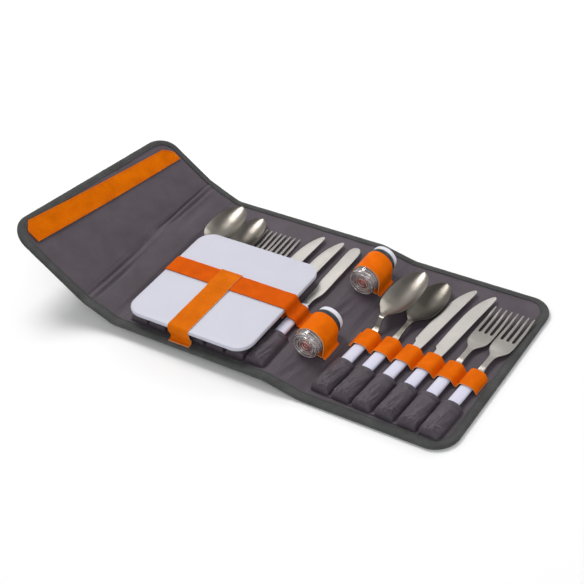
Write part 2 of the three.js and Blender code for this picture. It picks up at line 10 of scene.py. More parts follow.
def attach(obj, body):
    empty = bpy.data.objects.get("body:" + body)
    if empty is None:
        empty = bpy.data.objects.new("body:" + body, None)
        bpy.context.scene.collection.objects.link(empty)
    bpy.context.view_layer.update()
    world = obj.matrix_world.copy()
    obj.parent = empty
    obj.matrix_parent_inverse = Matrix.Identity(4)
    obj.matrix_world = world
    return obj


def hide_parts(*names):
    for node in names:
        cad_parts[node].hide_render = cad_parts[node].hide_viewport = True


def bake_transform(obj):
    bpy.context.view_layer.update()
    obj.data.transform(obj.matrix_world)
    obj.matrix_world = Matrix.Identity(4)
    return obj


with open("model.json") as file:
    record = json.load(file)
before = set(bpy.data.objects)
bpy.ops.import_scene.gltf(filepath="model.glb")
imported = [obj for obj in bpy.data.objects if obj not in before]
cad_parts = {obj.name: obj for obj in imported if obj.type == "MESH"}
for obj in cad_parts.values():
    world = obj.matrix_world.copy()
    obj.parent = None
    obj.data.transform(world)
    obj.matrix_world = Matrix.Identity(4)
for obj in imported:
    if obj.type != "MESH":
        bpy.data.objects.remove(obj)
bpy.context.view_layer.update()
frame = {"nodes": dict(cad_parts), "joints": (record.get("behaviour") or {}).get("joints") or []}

# =====================================================================================
# dimensions, millimetres (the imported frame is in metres; everything is scaled on the way out)
# =====================================================================================
H = 125.0
JP = {j["name"]: j for j in frame["joints"]}
FB = [v * 1000 for v in JP["right_spine_fold"]["pos_m"]]
FA = [v * 1000 for v in JP["right_panel_fold"]["pos_m"]]
FC = [v * 1000 for v in JP["left_spine_fold"]["pos_m"]]
FD = [v * 1000 for v in JP["flap_fold"]["pos_m"]]
SPR = math.hypot(FA[0] - FB[0], FA[2] - FB[2])
SPL = math.hypot(FD[0] - FC[0], FD[2] - FC[2])
A_SPR = math.atan2(FB[2] - FA[2], FA[0] - FB[0])      # fall of the right spine
A_SPL = math.atan2(FD[2] - FC[2], FC[0] - FD[0])      # rise of the left spine
A_FLAP = math.radians(40.3)
RIGHT_W, FLAP_W = 172.4, 103.0
sB, sA, sR = FB[0], FB[0] + SPR, FB[0] + SPR + RIGHT_W
sC, sD, sF = FC[0], FC[0] - SPL, FC[0] - SPL - FLAP_W
CR = 27.0
SET_TILT = 2.6
PITCH_R, PITCH_M = 25.7, 25.8
RIGHT_X = [20 + PITCH_R * i for i in range(6)]
MID_X = [-75.2 + PITCH_M * i for i in range(7)]


def E(y):
    return y - H


# ---------------------------------------------------------------- small numeric tools
def hash2(ix, iy, seed):
    n = (ix.astype(np.int64) * 374761393 + iy.astype(np.int64) * 668265263 + seed * 974634777) & 0xFFFFFFFF
    n = ((n ^ (n >> 13)) * 1274126177) & 0xFFFFFFFF
    return ((n ^ (n >> 16)) & 0xFFFF) / 65535.0


def noise(x, y, seed=0):
    """smooth value noise, -1 to 1, one cell per unit"""
    x, y = np.broadcast_arrays(np.asarray(x, float), np.asarray(y, float))
    ix, iy = np.floor(x), np.floor(y)
    fx, fy = x - ix, y - iy
    u, v = fx * fx * (3 - 2 * fx), fy * fy * (3 - 2 * fy)
    a, b = hash2(ix, iy, seed), hash2(ix + 1, iy, seed)
    c, d = hash2(ix, iy + 1, seed), hash2(ix + 1, iy + 1, seed)
    return 2 * ((a * (1 - u) + b * u) * (1 - v) + (c * (1 - u) + d * u) * v) - 1


def fbm(x, y, seed=0, octaves=3):
    t, amp, tot = 0, 1.0, 0
    for k in range(octaves):
        t = t + amp * noise(x * 2 ** k, y * 2 ** k, seed + k)
        tot += amp
        amp *= 0.5
    return t / tot


def sstep(a, b, x):
    t = np.clip((x - a) / (b - a), 0, 1)
    return t * t * (3 - 2 * t)


def pchip(x, y, xi):
    x, y, xi = np.asarray(x, float), np.asarray(y, float), np.asarray(xi, float)
    h, d = np.diff(x), np.diff(y) / np.diff(x)
    m = np.zeros_like(y)
    for i in range(1, len(x) - 1):
        if d[i - 1] * d[i] > 0:
            w1, w2 = 2 * h[i] + h[i - 1], h[i] + 2 * h[i - 1]
            m[i] = (w1 + w2) / (w1 / d[i - 1] + w2 / d[i])
    m[0], m[-1] = d[0], d[-1]
    k = np.clip(np.searchsorted(x, xi) - 1, 0, len(x) - 2)
    t = (xi - x[k]) / h[k]
    t = np.clip(t, 0, 1)
    return ((2 * t ** 3 - 3 * t ** 2 + 1) * y[k] + (t ** 3 - 2 * t ** 2 + t) * h[k] * m[k]
            + (-2 * t ** 3 + 3 * t ** 2) * y[k + 1] + (t ** 3 - t ** 2) * h[k] * m[k + 1])


def resample(path, step=None, n=None):
    p = np.asarray(path, float)
    seg = np.r_[0, np.cumsum(np.linalg.norm(np.diff(p, axis=0), axis=1))]
    n = n or max(2, int(round(seg[-1] / step)) + 1)
    t = np.linspace(0, seg[-1], n)
    return np.stack([np.interp(t, seg, p[:, k]) for k in range(p.shape[1])], 1), t


def round_path(path, r, step=0.7):
    """open polyline with its corners rounded"""
    p = [np.asarray(q, float) for q in path]
    out = [p[0]]
    for i in range(1, len(p) - 1):
        a, b, c = p[i - 1], p[i], p[i + 1]
        la, lc = np.linalg.norm(a - b), np.linalg.norm(c - b)
        k = min(r, 0.48 * la, 0.48 * lc)
        q0, q1 = b + (a - b) / la * k, b + (c - b) / lc * k
        for t in np.linspace(0, 1, 7):
            out.append((1 - t) ** 2 * q0 + 2 * t * (1 - t) * b + t * t * q1)
    out.append(p[-1])
    return resample(np.array(out), step)[0]


# ---------------------------------------------------------------- the wallet's surface
_s = np.arange(sF - 30, sR + 30, 0.25)
FOLD_HW = 4.5


def _phi(s):
    f = np.zeros_like(s)
    f += -A_SPR * sstep(sB - FOLD_HW, sB + FOLD_HW, s)
    f += A_SPR * sstep(sA - FOLD_HW, sA + FOLD_HW, s)
    f += -A_SPL * (1 - sstep(sC - FOLD_HW, sC + FOLD_HW, s))
    f += -(A_FLAP - A_SPL) * (1 - sstep(sD - FOLD_HW, sD + FOLD_HW, s))
    return f


_f = _phi(_s)
_i0 = int(np.argmin(np.abs(_s)))
_px = np.r_[0, np.cumsum((np.cos(_f[1:]) + np.cos(_f[:-1])) * 0.125)]
_pz = np.r_[0, np.cumsum((np.sin(_f[1:]) + np.sin(_f[:-1])) * 0.125)]
_px -= _px[_i0]
_pz += FB[2] - _pz[_i0]


def warp(s, y):
    """soft fabric never lies in exact planes: the flap hangs a little skewed"""
    v = np.asarray(y) / H
    # the flap's cloth is skewed in its own plane: the near end runs out further, the far end less
    g = np.clip((sD + 4 - s) / (sD + 4 - sF), 0, 1.3)
    out = g * (SKEW[0] + SKEW[1] * v)
    along = g * (SKEW[2] + SKEW[3] * v)
    # and its hinge line sits a touch askew the other way
    hb = np.exp(-((s - sD) / 16.0) ** 2)
    out = out + hb * (SKEW[4] + SKEW[5] * v)
    return -out * math.cos(A_FLAP), along, out * math.sin(A_FLAP)


SKEW = [-3.5, -17.0, -1.5, 0.5, 0.8, 2.4]


def W(s, y, h):
    """along the wallet, across it, above the lining -> row frame, mm"""
    s, y, h = np.broadcast_arrays(np.asarray(s, float), np.asarray(y, float), np.asarray(h, float))
    f = np.interp(s, _s, _f)
    dx, dy, dz = warp(s, y)
    return np.stack([np.interp(s, _s, _px) - h * np.sin(f) + dx, y + dy, np.interp(s, _s, _pz) + h * np.cos(f) + dz], -1)


def on_middle(x, y, z):
    x, y, z = np.broadcast_arrays(np.asarray(x, float), np.asarray(y, float), np.asarray(z, float))
    return np.stack([x, y, z + FB[2]], -1)


def on_right(x, y, z):
    x, y, z = np.broadcast_arrays(np.asarray(x, float), np.asarray(y, float), np.asarray(z, float))
    return np.stack([x + FA[0], y, z + FA[2]], -1)


PX, PY = 84.2, E(101)
_ct, _st = math.cos(math.radians(SET_TILT)), math.sin(math.radians(SET_TILT))


def on_set(x, y, z):
    """right-hand set of cutlery, fanned about a point on the elastic"""
    x, y, z = np.broadcast_arrays(np.asarray(x, float), np.asarray(y, float), np.asarray(z, float))
    dx, dy = x - PX, y - PY
    return on_right(PX + dx * _ct + dy * _st, PY - dx * _st + dy * _ct, z)


def on_spine(u, y, z):
    u, y, z = np.broadcast_arrays(np.asarray(u, float), np.asarray(y, float), np.asarray(z, float))
    c, s = math.cos(A_SPR), math.sin(A_SPR)
    return np.stack([FB[0] + u * c + z * s, y, FB[2] - u * s + z * c], -1)


def in_piece(hx, tilt, base):
    c, s = math.cos(math.radians(tilt)), math.sin(math.radians(tilt))

    def f(x, y, z):
        x, y, z = np.broadcast_arrays(np.asarray(x, float), np.asarray(y, float), np.asarray(z, float))
        d = y - PY
        return base(hx + x * c + d * s, PY - x * s + d * c, z)
    return f


# ---------------------------------------------------------------- mesh builders
def make(name, verts, faces, mat, uv=None, sharp=50.0):
    me = bpy.data.meshes.new(name)
    v = np.asarray(verts, float).reshape(-1, 3) * 0.001
    me.from_pydata(v.tolist(), [], [tuple(int(i) for i in f) for f in faces])
    me.validate()
    if uv is not None:
        u = np.asarray(uv, float).reshape(-1, 2)
        layer = me.uv_layers.new(name="fab")
        idx = np.empty(len(me.loops), np.int64)
        me.loops.foreach_get("vertex_index", idx)
        layer.data.foreach_set("uv", u[idx].astype(np.float32).ravel())
    me.polygons.foreach_set("use_smooth", np.ones(len(me.polygons), bool))
    me.set_sharp_from_angle(angle=math.radians(sharp))
    ob = bpy.data.objects.new(name, me)
    bpy.context.scene.collection.objects.link(ob)
    me.materials.append(mat)
    return ob


def grid_faces(m, n, off=0, flip=False, wrap_m=False, wrap_n=False):
    f = []
    for i in range(m if wrap_m else m - 1):
        i2 = (i + 1) % m
        for j in range(n if wrap_n else n - 1):
            j2 = (j + 1) % n
            q = (off + i * n + j, off + i2 * n + j, off + i2 * n + j2, off + i * n + j2)
            f.append(q[::-1] if flip else q)
    return f


def slab(name, top, bottom, mat, uv=None, sharp=50.0):
    """closed shell between two (m, n, 3) grids; top's normal is d/dm x d/dn"""
    m, n = top.shape[:2]
    V = np.concatenate([top.reshape(-1, 3), bottom.reshape(-1, 3)])
    k = m * n
    F = grid_faces(m, n) + grid_faces(m, n, k, True)
    for i in range(m - 1):
        F.append((i * n, k + i * n, k + (i + 1) * n, (i + 1) * n))
        a, b = i * n + n - 1, (i + 1) * n + n - 1
        F.append((b, k + b, k + a, a))
    for j in range(n - 1):
        F.append((j + 1, k + j + 1, k + j, j))
        a = (m - 1) * n + j
        F.append((a, k + a, k + a + 1, a + 1))
    U = None
    if uv is not None:
        U = np.concatenate([uv.reshape(-1, 2), uv.reshape(-1, 2)])
    return make(name, V, F, mat, U, sharp)


def tube_rings(name, rings, mat, uv=None, caps=True, sharp=50.0, closed=False):
    """skin through rings (m, n, 3), closed round n"""
    m, n = rings.shape[:2]
    V = rings.reshape(-1, 3)
    F = grid_faces(m, n, 0, False, closed, True)
    U = None if uv is None else uv.reshape(-1, 2)
    if caps and not closed:
        c0, c1 = rings[0].mean(0), rings[-1].mean(0)
        V = np.concatenate([V, [c0, c1]])
        for j in range(n):
            F.append((m * n, j, (j + 1) % n))
            F.append((m * n + 1, (m - 1) * n + (j + 1) % n, (m - 1) * n + j))
        if U is not None:
            U = np.concatenate([U, [U[0], U[-1]]])
    return make(name, V, F, mat, U, sharp)


def lathe(name, prof, place, mat, seg=64, sharp=40.0):
    """profile [(r, y)] turned about the Y axis at place(x, y, z); poles closed where r is 0"""
    V, F, U = [], [], []
    rows = []
    acc = 0
    for i, (r, y) in enumerate(prof):
        if i:
            acc += math.hypot(r - prof[i - 1][0], y - prof[i - 1][1])
        if r < 1e-6:
            rows.append([len(V)])
            V.append((0, y, 0))
            U.append((0, acc / 1000))
        else:
            rows.append(list(range(len(V), len(V) + seg)))
            for k in range(seg):
                a = 2 * math.pi * k / seg
                V.append((r * math.cos(a), y, r * math.sin(a)))
                U.append((r * a / 1000, acc / 1000))
    for a, b in zip(rows[:-1], rows[1:]):
        for k in range(seg):
            k2 = (k + 1) % seg
            if len(a) == 1 and len(b) == 1:
                continue
            if len(a) == 1:
                F.append((a[0], b[k2], b[k]))
            elif len(b) == 1:
                F.append((a[k], a[k2], b[0]))
            else:
                F.append((a[k], a[k2], b[k2], b[k]))
    V = np.array(V)
    P = place(V[:, 0], V[:, 1], V[:, 2])
    ob = make(name, P, F, mat, U, sharp)
    bm = bmesh.new()
    bm.from_mesh(ob.data)
    bmesh.ops.recalc_face_normals(bm, faces=bm.faces)
    bm.to_mesh(ob.data)
    bm.free()
    return ob


def fix_normals(ob):
    bm = bmesh.new()
    bm.from_mesh(ob.data)
    bmesh.ops.recalc_face_normals(bm, faces=bm.faces)
    bm.to_mesh(ob.data)
    bm.free()
    return ob


# =====================================================================================
# materials
# =====================================================================================
class Mat:
    def __init__(self, name):
        self.m = bpy.data.materials.new(name)
        self.m.use_nodes = True
        self.t = self.m.node_tree
        self.b = self.t.nodes["Principled BSDF"]

    def n(self, kind, **kw):
        node = self.t.nodes.new(kind)
        for k, v in kw.items():
            if k in node.inputs:
                node.inputs[k].default_value = v
            else:
                setattr(node, k, v)
        return node

    def link(self, a, b):
        self.t.links.new(a, b)

    def coords(self, kind="Object"):
        return self.n("ShaderNodeTexCoord").outputs[kind]

    def uv(self):
        u = self.n("ShaderNodeUVMap")
        u.uv_map = "fab"
        return u.outputs["UV"]

    def noise(self, vec, scale, detail=3, rough=0.55, stretch=None):
        if stretch is not None:
            mp = self.n("ShaderNodeMapping")
            mp.inputs["Scale"].default_value = stretch
            self.link(vec, mp.inputs["Vector"])
            vec = mp.outputs["Vector"]
        t = self.n("ShaderNodeTexNoise")
        t.inputs["Scale"].default_value = scale
        t.inputs["Detail"].default_value = detail
        t.inputs["Roughness"].default_value = rough
        self.link(vec, t.inputs["Vector"])
        return t.outputs["Fac"]

    def wave(self, vec, scale, direction="X", distortion=0.0, profile="SIN"):
        t = self.n("ShaderNodeTexWave")
        t.wave_type = "BANDS"
        t.bands_direction = direction
        t.wave_profile = profile
        t.inputs["Scale"].default_value = scale
        t.inputs["Distortion"].default_value = distortion
        self.link(vec, t.inputs["Vector"])
        return t.outputs["Fac"]

    def ramp(self, fac, stops):
        r = self.n("ShaderNodeValToRGB")
        el = r.color_ramp.elements
        while len(el) > 1:
            el.remove(el[-1])
        el[0].position, el[0].color = stops[0][0], (*stops[0][1], 1)
        for p, c in stops[1:]:
            e = el.new(p)
            e.color = (*c, 1)
        self.link(fac, r.inputs["Fac"])
        return r.outputs["Color"]

    def math(self, op, a, b=0.5):
        m = self.n("ShaderNodeMath")
        m.operation = op
        for i, v in enumerate((a, b)):
            if isinstance(v, (int, float)):
                m.inputs[i].default_value = v
            else:
                self.link(v, m.inputs[i])
        return m.outputs[0]

    def mix(self, fac, a, b):
        m = self.n("ShaderNodeMix")
        m.data_type = "RGBA"
        if isinstance(fac, (int, float)):
            m.inputs[0].default_value = fac
        else:
            self.link(fac, m.inputs[0])
        for i, v in ((6, a), (7, b)):
            if isinstance(v, tuple):
                m.inputs[i].default_value = (*v, 1)
            else:
                self.link(v, m.inputs[i])
        return m.outputs[2]

    def bump(self, height, dist, strength=1.0, normal=None):
        b = self.n("ShaderNodeBump")
        b.inputs["Distance"].default_value = dist
        b.inputs["Strength"].default_value = strength
        self.link(height, b.inputs["Height"])
        if normal is not None:
            self.link(normal, b.inputs["Normal"])
        return b.outputs["Normal"]

    def set(self, **kw):
        for k, v in kw.items():
            k = k.replace("_", " ")
            if isinstance(v, (int, float, tuple, list)):
                self.b.inputs[k].default_value = v
            else:
                self.link(v, self.b.inputs[k])
        return self


def bands(period_mm):
    """wave texture scale for that period in metric uv"""
    return 314.16 / period_mm


def weave_uv(M, period_u, period_v):
    """height of a plain weave in metric uv"""
    uv = M.uv()
    a = M.wave(uv, bands(period_u), "X")
    b = M.wave(uv, bands(period_v), "Y")
    return uv, M.math("MULTIPLY", a, b), a, b


def fabric(name, lo, hi, rough, weave=(160, 160), weave_h=0.00012, soft=0.00035, sheen=0.15, mottling=40.0, spec=0.35):
    M = Mat(name)
    obj = M.coords()
    uv, w, wa, wb = weave_uv(M, *weave)
    big = M.noise(obj, mottling, 4, 0.6)
    fine = M.noise(obj, 900, 2, 0.5)
    col = M.ramp(big, [(0.3, lo), (0.7, hi)])
    # painted shade: the weave's low threads are darkened, shade painted into the hollows between threads
    weave_gap_shade = tuple(c * 0.72 for c in lo)
    col = M.mix(M.math("MULTIPLY", M.math("SUBTRACT", 1.0, w), 0.35), col, weave_gap_shade)
    n1 = M.bump(big, soft * 2, 0.5)
    n2 = M.bump(w, weave_h, 1.0, n1)
    n3 = M.bump(fine, weave_h * 0.6, 0.6, n2)
    M.set(Base_Color=col, Normal=n3, Roughness=rough, Sheen_Weight=sheen, Sheen_Roughness=0.5, Specular_IOR_Level=spec)
    return M.m


def webbing(name, lo, hi, rib_mm=1.15, rough=0.62, closure=False):
    """narrow elastic: fine ribs along its length, small cross-threads, slightly fuzzy"""
    M = Mat(name)
    obj = M.coords()
    uv = M.uv()
    # uv: u along the strap, v across it, metres
    rib = M.wave(uv, bands(rib_mm), "Y")
    cross = M.wave(uv, bands(0.75), "X", 1.0)
    big = M.noise(obj, 55, 3, 0.6)
    fine = M.noise(obj, 1400, 2, 0.6)
    mixf = M.math("ADD", M.math("MULTIPLY", big, 0.7), M.math("MULTIPLY", fine, 0.3))
    col = M.ramp(mixf, [(0.35, lo), (0.65, hi)])
    # painted shade: the rib grooves are darkened, shade painted into the hollows between the ribs
    rib_groove_shade = tuple(c * 0.6 for c in lo)
    col = M.mix(M.math("MULTIPLY", M.math("SUBTRACT", 1.0, rib), 0.22 if not closure else 0.15), col, rib_groove_shade)
    n = M.bump(rib, 0.00010, 0.8)
    n = M.bump(cross, 0.00004, 0.5, n)
    n = M.bump(fine, 0.0002 if closure else 0.00008, 0.8 if closure else 0.5, n)
    M.set(Base_Color=col, Normal=n, Roughness=rough, Specular_IOR_Level=0.04)
    return M.m


LINING = fabric("lining_nylon", (0.058, 0.045, 0.057), (0.086, 0.067, 0.084), 0.56, weave=(0.5, 0.5), weave_h=0.00004, soft=0.0006, sheen=0.06, mottling=28, spec=0.35)
POCKET = fabric("pocket_nylon", (0.041, 0.030, 0.041), (0.068, 0.051, 0.068), 0.48, weave=(0.5, 0.5), weave_h=0.00004, soft=0.0006, sheen=0.10, mottling=45, spec=0.42)
COVER = fabric("outer_cover", (0.045, 0.047, 0.047), (0.068, 0.070, 0.070), 0.78, weave=(0.9, 0.9), weave_h=0.00012, soft=0.0004, sheen=0.06, mottling=22, spec=0.25)
BINDING = fabric("binding_tape", (0.050, 0.052, 0.050), (0.084, 0.087, 0.084), 0.85, weave=(1.3, 1.1), weave_h=0.00016, soft=0.0003, sheen=0.06, mottling=60, spec=0.2)
PADDING = fabric("padded_back", (0.036, 0.034, 0.038), (0.052, 0.050, 0.056), 0.8, weave=(0.9, 0.9), weave_h=0.00012, soft=0.0005, sheen=0.06, mottling=22, spec=0.25)
ELASTIC = webbing("elastic_orange", (0.62, 0.106, 0.0), (0.80, 0.150, 0.0))
STRAP_C = webbing("cross_strap_orange", (0.54, 0.076, 0.0), (0.68, 0.104, 0.0))
STRAP_L = webbing("lengthwise_strap_orange", (0.58, 0.122, 0.0), (0.71, 0.158, 0.002))
LOOPS = webbing("loop_orange", (0.68, 0.118, 0.0), (0.86, 0.165, 0.0))
HOOKS = webbing("hook_tape_orange", (0.50, 0.100, 0.0), (0.66, 0.145, 0.0), rib_mm=1.6, rough=0.9, closure=True)


def thread_mat(name, c):
    M = Mat(name)
    uv = M.coords()
    tw = M.noise(uv, 2500, 2, 0.5)
    M.set(Base_Color=M.ramp(tw, [(0.35, tuple(x * 0.7 for x in c)), (0.65, c)]), Roughness=0.7, Normal=M.bump(tw, 0.00008, 0.6))
    return M.m


THREAD_DARK = thread_mat("thread_dark", (0.035, 0.035, 0.038))
THREAD_ORANGE = thread_mat("thread_orange", (0.62, 0.11, 0.004))


def steel(name, base, rough, brushed=True, tint=0.0):
    M = Mat(name)
    obj = M.coords()
    br = M.noise(obj, 300, 4, 0.65, stretch=(1.0, 0.05, 1.0))
    cloud = M.noise(obj, 45, 3, 0.6)
    r = M.math("ADD", M.math("MULTIPLY", cloud, 0.08), rough)
    r = M.math("ADD", M.math("MULTIPLY", br, 0.08 if brushed else 0.03), r)
    col = M.ramp(cloud, [(0.3, tuple(c * 0.90 for c in base)), (0.7, base)])
    M.set(Base_Color=col, Metallic=1.0, Roughness=r)
    if brushed:
        M.set(Normal=M.bump(br, 0.00002, 0.25))
    return M.m


STEEL_BLADE = steel("steel_blade", (0.60, 0.575, 0.54), 0.30)
# painted reflection: the spoon and fork steels have darker base colours than the blade steel, standing in for the dark
# surroundings they reflect
STEEL_SPOON = steel("steel_spoon", (0.245, 0.225, 0.198), 0.25, brushed=False)
# painted shade: a still darker copy of the spoon steel, used for the second right-hand spoon, which lies in shade
STEEL_DARK = steel("steel_spoon_shaded", (0.15, 0.138, 0.118), 0.25, brushed=False)
STEEL_FORK = steel("steel_fork", (0.40, 0.38, 0.35), 0.24)


def plastic(name, base, rough, spec=0.5, grain=0.00003, sss=0.0, coat=0.0):
    M = Mat(name)
    obj = M.coords()
    a = M.noise(obj, 35, 3, 0.5)
    g = M.noise(obj, 2600, 2, 0.5)
    col = M.ramp(a, [(0.3, tuple(c * 0.965 for c in base)), (0.7, base)])
    r = M.math("ADD", M.math("MULTIPLY", a, 0.08), rough)
    M.set(Base_Color=col, Roughness=r, Specular_IOR_Level=spec, Normal=M.bump(g, grain, 0.6), Coat_Weight=coat)
    if sss:
        M.set(Subsurface_Weight=sss, Subsurface_Scale=0.002)
    return M.m


HANDLE = plastic("handle_white", (0.64, 0.635, 0.76), 0.28, sss=0.08)
BOARD = plastic("board_white", (0.52, 0.525, 0.60), 0.42, grain=0.00005, sss=0.05)
COLLAR = plastic("collar_black", (0.012, 0.018, 0.026), 0.32)
CAPM = plastic("cap_white", (0.70, 0.70, 0.76), 0.3, sss=0.05)
STIFF = plastic("stiffener_sheet", (0.03, 0.03, 0.032), 0.6, grain=0.0002)


def clear(name):
    """thin clear plastic: mostly see-through, glossy at grazing angles, with painted pale highlights on the moulding
    rings
    """
    M = Mat(name)
    obj, uv = M.coords(), M.uv()
    a = M.noise(obj, 120, 2, 0.5)
    ring = M.wave(uv, bands(2.9), "Y", 0.6)
    nb = M.bump(ring, 0.0004, 0.5, M.bump(a, 0.00008, 0.35))
    M.set(Base_Color=(0.93, 0.86, 0.85, 1), Roughness=M.math("ADD", M.math("MULTIPLY", a, 0.08), 0.10), IOR=1.5, Transmission_Weight=0.0, Specular_IOR_Level=0.9, Normal=nb)
    out = M.t.nodes["Material Output"]
    see = M.n("ShaderNodeBsdfTransparent")
    # painted reflection: an orange tint is painted into the see-through colour at the middle of the base, standing in
    # for the orange elastic seen through it
    sep = M.n("ShaderNodeSeparateXYZ")
    M.link(uv, sep.inputs[0])
    painted_orange_core = M.math("MULTIPLY", M.math("SUBTRACT", 1.0, M.math("MULTIPLY", sep.outputs[1], 92.0)), M.math("ADD", M.math("MULTIPLY", a, 1.6), 0.1))
    M.link(M.ramp(painted_orange_core, [(0.0, (0.95, 0.92, 0.92)), (0.22, (0.96, 0.55, 0.46)), (0.50, (1.0, 0.13, 0.05))]), see.inputs["Color"])
    gloss = M.n("ShaderNodeBsdfAnisotropic")
    gloss.inputs["Color"].default_value = (1, 1, 1, 1)
    gloss.inputs["Roughness"].default_value = 0.06
    M.link(nb, gloss.inputs["Normal"])
    fr = M.n("ShaderNodeFresnel")
    fr.inputs["IOR"].default_value = 1.55
    M.link(nb, fr.inputs["Normal"])
    m1, m2 = M.n("ShaderNodeMixShader"), M.n("ShaderNodeMixShader")
    M.link(M.math("MINIMUM", M.math("ADD", M.math("MULTIPLY", fr.outputs[0], 1.5), 0.03), 1.0), m1.inputs[0])
    M.link(see.outputs["BSDF"], m1.inputs[1])
    M.link(gloss.outputs["BSDF"], m1.inputs[2])
    # painted highlight: the pale shader is mixed in on the moulding rings, over their bump
    M.link(M.math("ADD", M.math("MULTIPLY", M.math("POWER", ring, 4.0), 0.34), 0.05), m2.inputs[0])
    M.link(m1.outputs["Shader"], m2.inputs[1])
    M.link(M.b.outputs["BSDF"], m2.inputs[2])
    M.link(m2.outputs["Shader"], out.inputs["Surface"])
    return M.m


CLEAR = clear("clear_plastic")

PALE_EDGE = thread_mat("elastic_edge", (0.86, 0.44, 0.22))
EDGES = {ELASTIC.name: PALE_EDGE, STRAP_C.name: STRAP_C, STRAP_L.name: PALE_EDGE, LOOPS.name: PALE_EDGE, HOOKS.name: HOOKS}


# =====================================================================================
# shape helpers that need the materials
# =====================================================================================
def grid_normals(P):
    a = np.gradient(P, axis=0)
    b = np.gradient(P, axis=1)
    n = np.cross(a, b)
    return n / np.maximum(np.linalg.norm(n, axis=-1, keepdims=True), 1e-9)


def sheet_from(name, top, th, mat, uv=None, rims=(True, True), sharp=42.0):
    """a thin sheet from its outer grid, with cut edges of their own material where the cloth has one"""
    bottom = top - grid_normals(top) * th
    m, n = top.shape[:2]
    if uv is None:
        du = np.r_[0, np.cumsum(np.linalg.norm(np.diff(top, axis=0), axis=2).mean(1))]
        dv = np.r_[0, np.cumsum(np.linalg.norm(np.diff(top, axis=1), axis=2).mean(0))]
        uv = np.stack(np.meshgrid(du, dv, indexing="ij"), -1) / 1000
    ob = slab(name, top, bottom, mat, uv, sharp)
    edge = EDGES.get(mat.name)
    if edge is not None and edge is not mat:
        ob.data.materials.append(edge)
        k = 2 * (m - 1) * (n - 1)
        for p in ob.data.polygons[k:]:
            p.material_index = 1
    return ob


def flat_of(top):
    w = float(np.linalg.norm(np.diff(top, axis=0), axis=2).sum(0).mean()) / 1000
    l = float(np.linalg.norm(np.diff(top, axis=1), axis=2).sum(1).mean()) / 1000
    return (round(w, 4), round(l, 4))


def stitches(name, paths, mat, pitch=3.4, length=2.3, r=0.24, lift=0.12):
    """short raised threads along paths; each path is (points (n,3), normals (n,3))"""
    V, F = [], []
    for P, N in paths:
        P, N = np.asarray(P, float), np.asarray(N, float)
        seg = np.r_[0, np.cumsum(np.linalg.norm(np.diff(P, axis=0), axis=1))]
        count = int((seg[-1] - length) / pitch)
        if count < 1:
            continue
        start = (seg[-1] - (count * pitch + length)) / 2
        for c in range(count + 1):
            a = start + c * pitch
            t = np.array([a, a + 0.25 * length, a + 0.75 * length, a + length])
            p = np.stack([np.interp(t, seg, P[:, k]) for k in range(3)], 1)
            nn = np.stack([np.interp(t, seg, N[:, k]) for k in range(3)], 1)
            nn /= np.linalg.norm(nn, axis=1, keepdims=True)
            d = p[-1] - p[0]
            d /= np.linalg.norm(d)
            side = np.cross(d, nn)
            side /= np.linalg.norm(side, axis=1, keepdims=True)
            p = p + nn * np.array([-0.1, lift, lift, -0.1])[:, None]
            sc = [0.45, 1, 1, 0.45]
            o = len(V)
            for i in range(4):
                for k in range(5):
                    g = 2 * math.pi * k / 5
                    V.append(p[i] + r * sc[i] * (side[i] * math.cos(g) + nn[i] * math.sin(g)))
            for i in range(3):
                for k in range(5):
                    k2 = (k + 1) % 5
                    F.append((o + i * 5 + k, o + (i + 1) * 5 + k, o + (i + 1) * 5 + k2, o + i * 5 + k2))
            F.append(tuple(o + k for k in range(5)))
            F.append(tuple(o + 15 + k for k in reversed(range(5))))
    return fix_normals(make(name, V, F, mat, None, 80))


def inset_loop(P, d):
    """closed 2-D loop, counter-clockwise, moved inwards by d"""
    a, b = np.roll(P, 1, 0), np.roll(P, -1, 0)
    t = b - a
    t /= np.maximum(np.linalg.norm(t, axis=1, keepdims=True), 1e-9)
    return P + np.stack([-t[:, 1], t[:, 0]], 1) * d


def dense_loop(P, step):
    P = np.asarray(P, float)
    return resample(np.vstack([P, P[:1]]), step)[0][:-1]


def round_loop(P, r, step):
    P = np.asarray(P, float)
    out = []
    n = len(P)
    for i in range(n):
        a, b, c = P[i - 1], P[i], P[(i + 1) % n]
        rr = r[i] if hasattr(r, "__len__") else r
        la, lc = np.linalg.norm(a - b), np.linalg.norm(c - b)
        k = min(rr, 0.49 * la, 0.49 * lc)
        q0, q1 = b + (a - b) / la * k, b + (c - b) / lc * k
        for t in np.linspace(0, 1, 6):
            out.append((1 - t) ** 2 * q0 + 2 * t * (1 - t) * b + t * t * q1)
    return dense_loop(out, step)


def area2(P):
    return float(np.sum(P[:, 0] * np.roll(P[:, 1], -1) - np.roll(P[:, 0], -1) * P[:, 1])) / 2


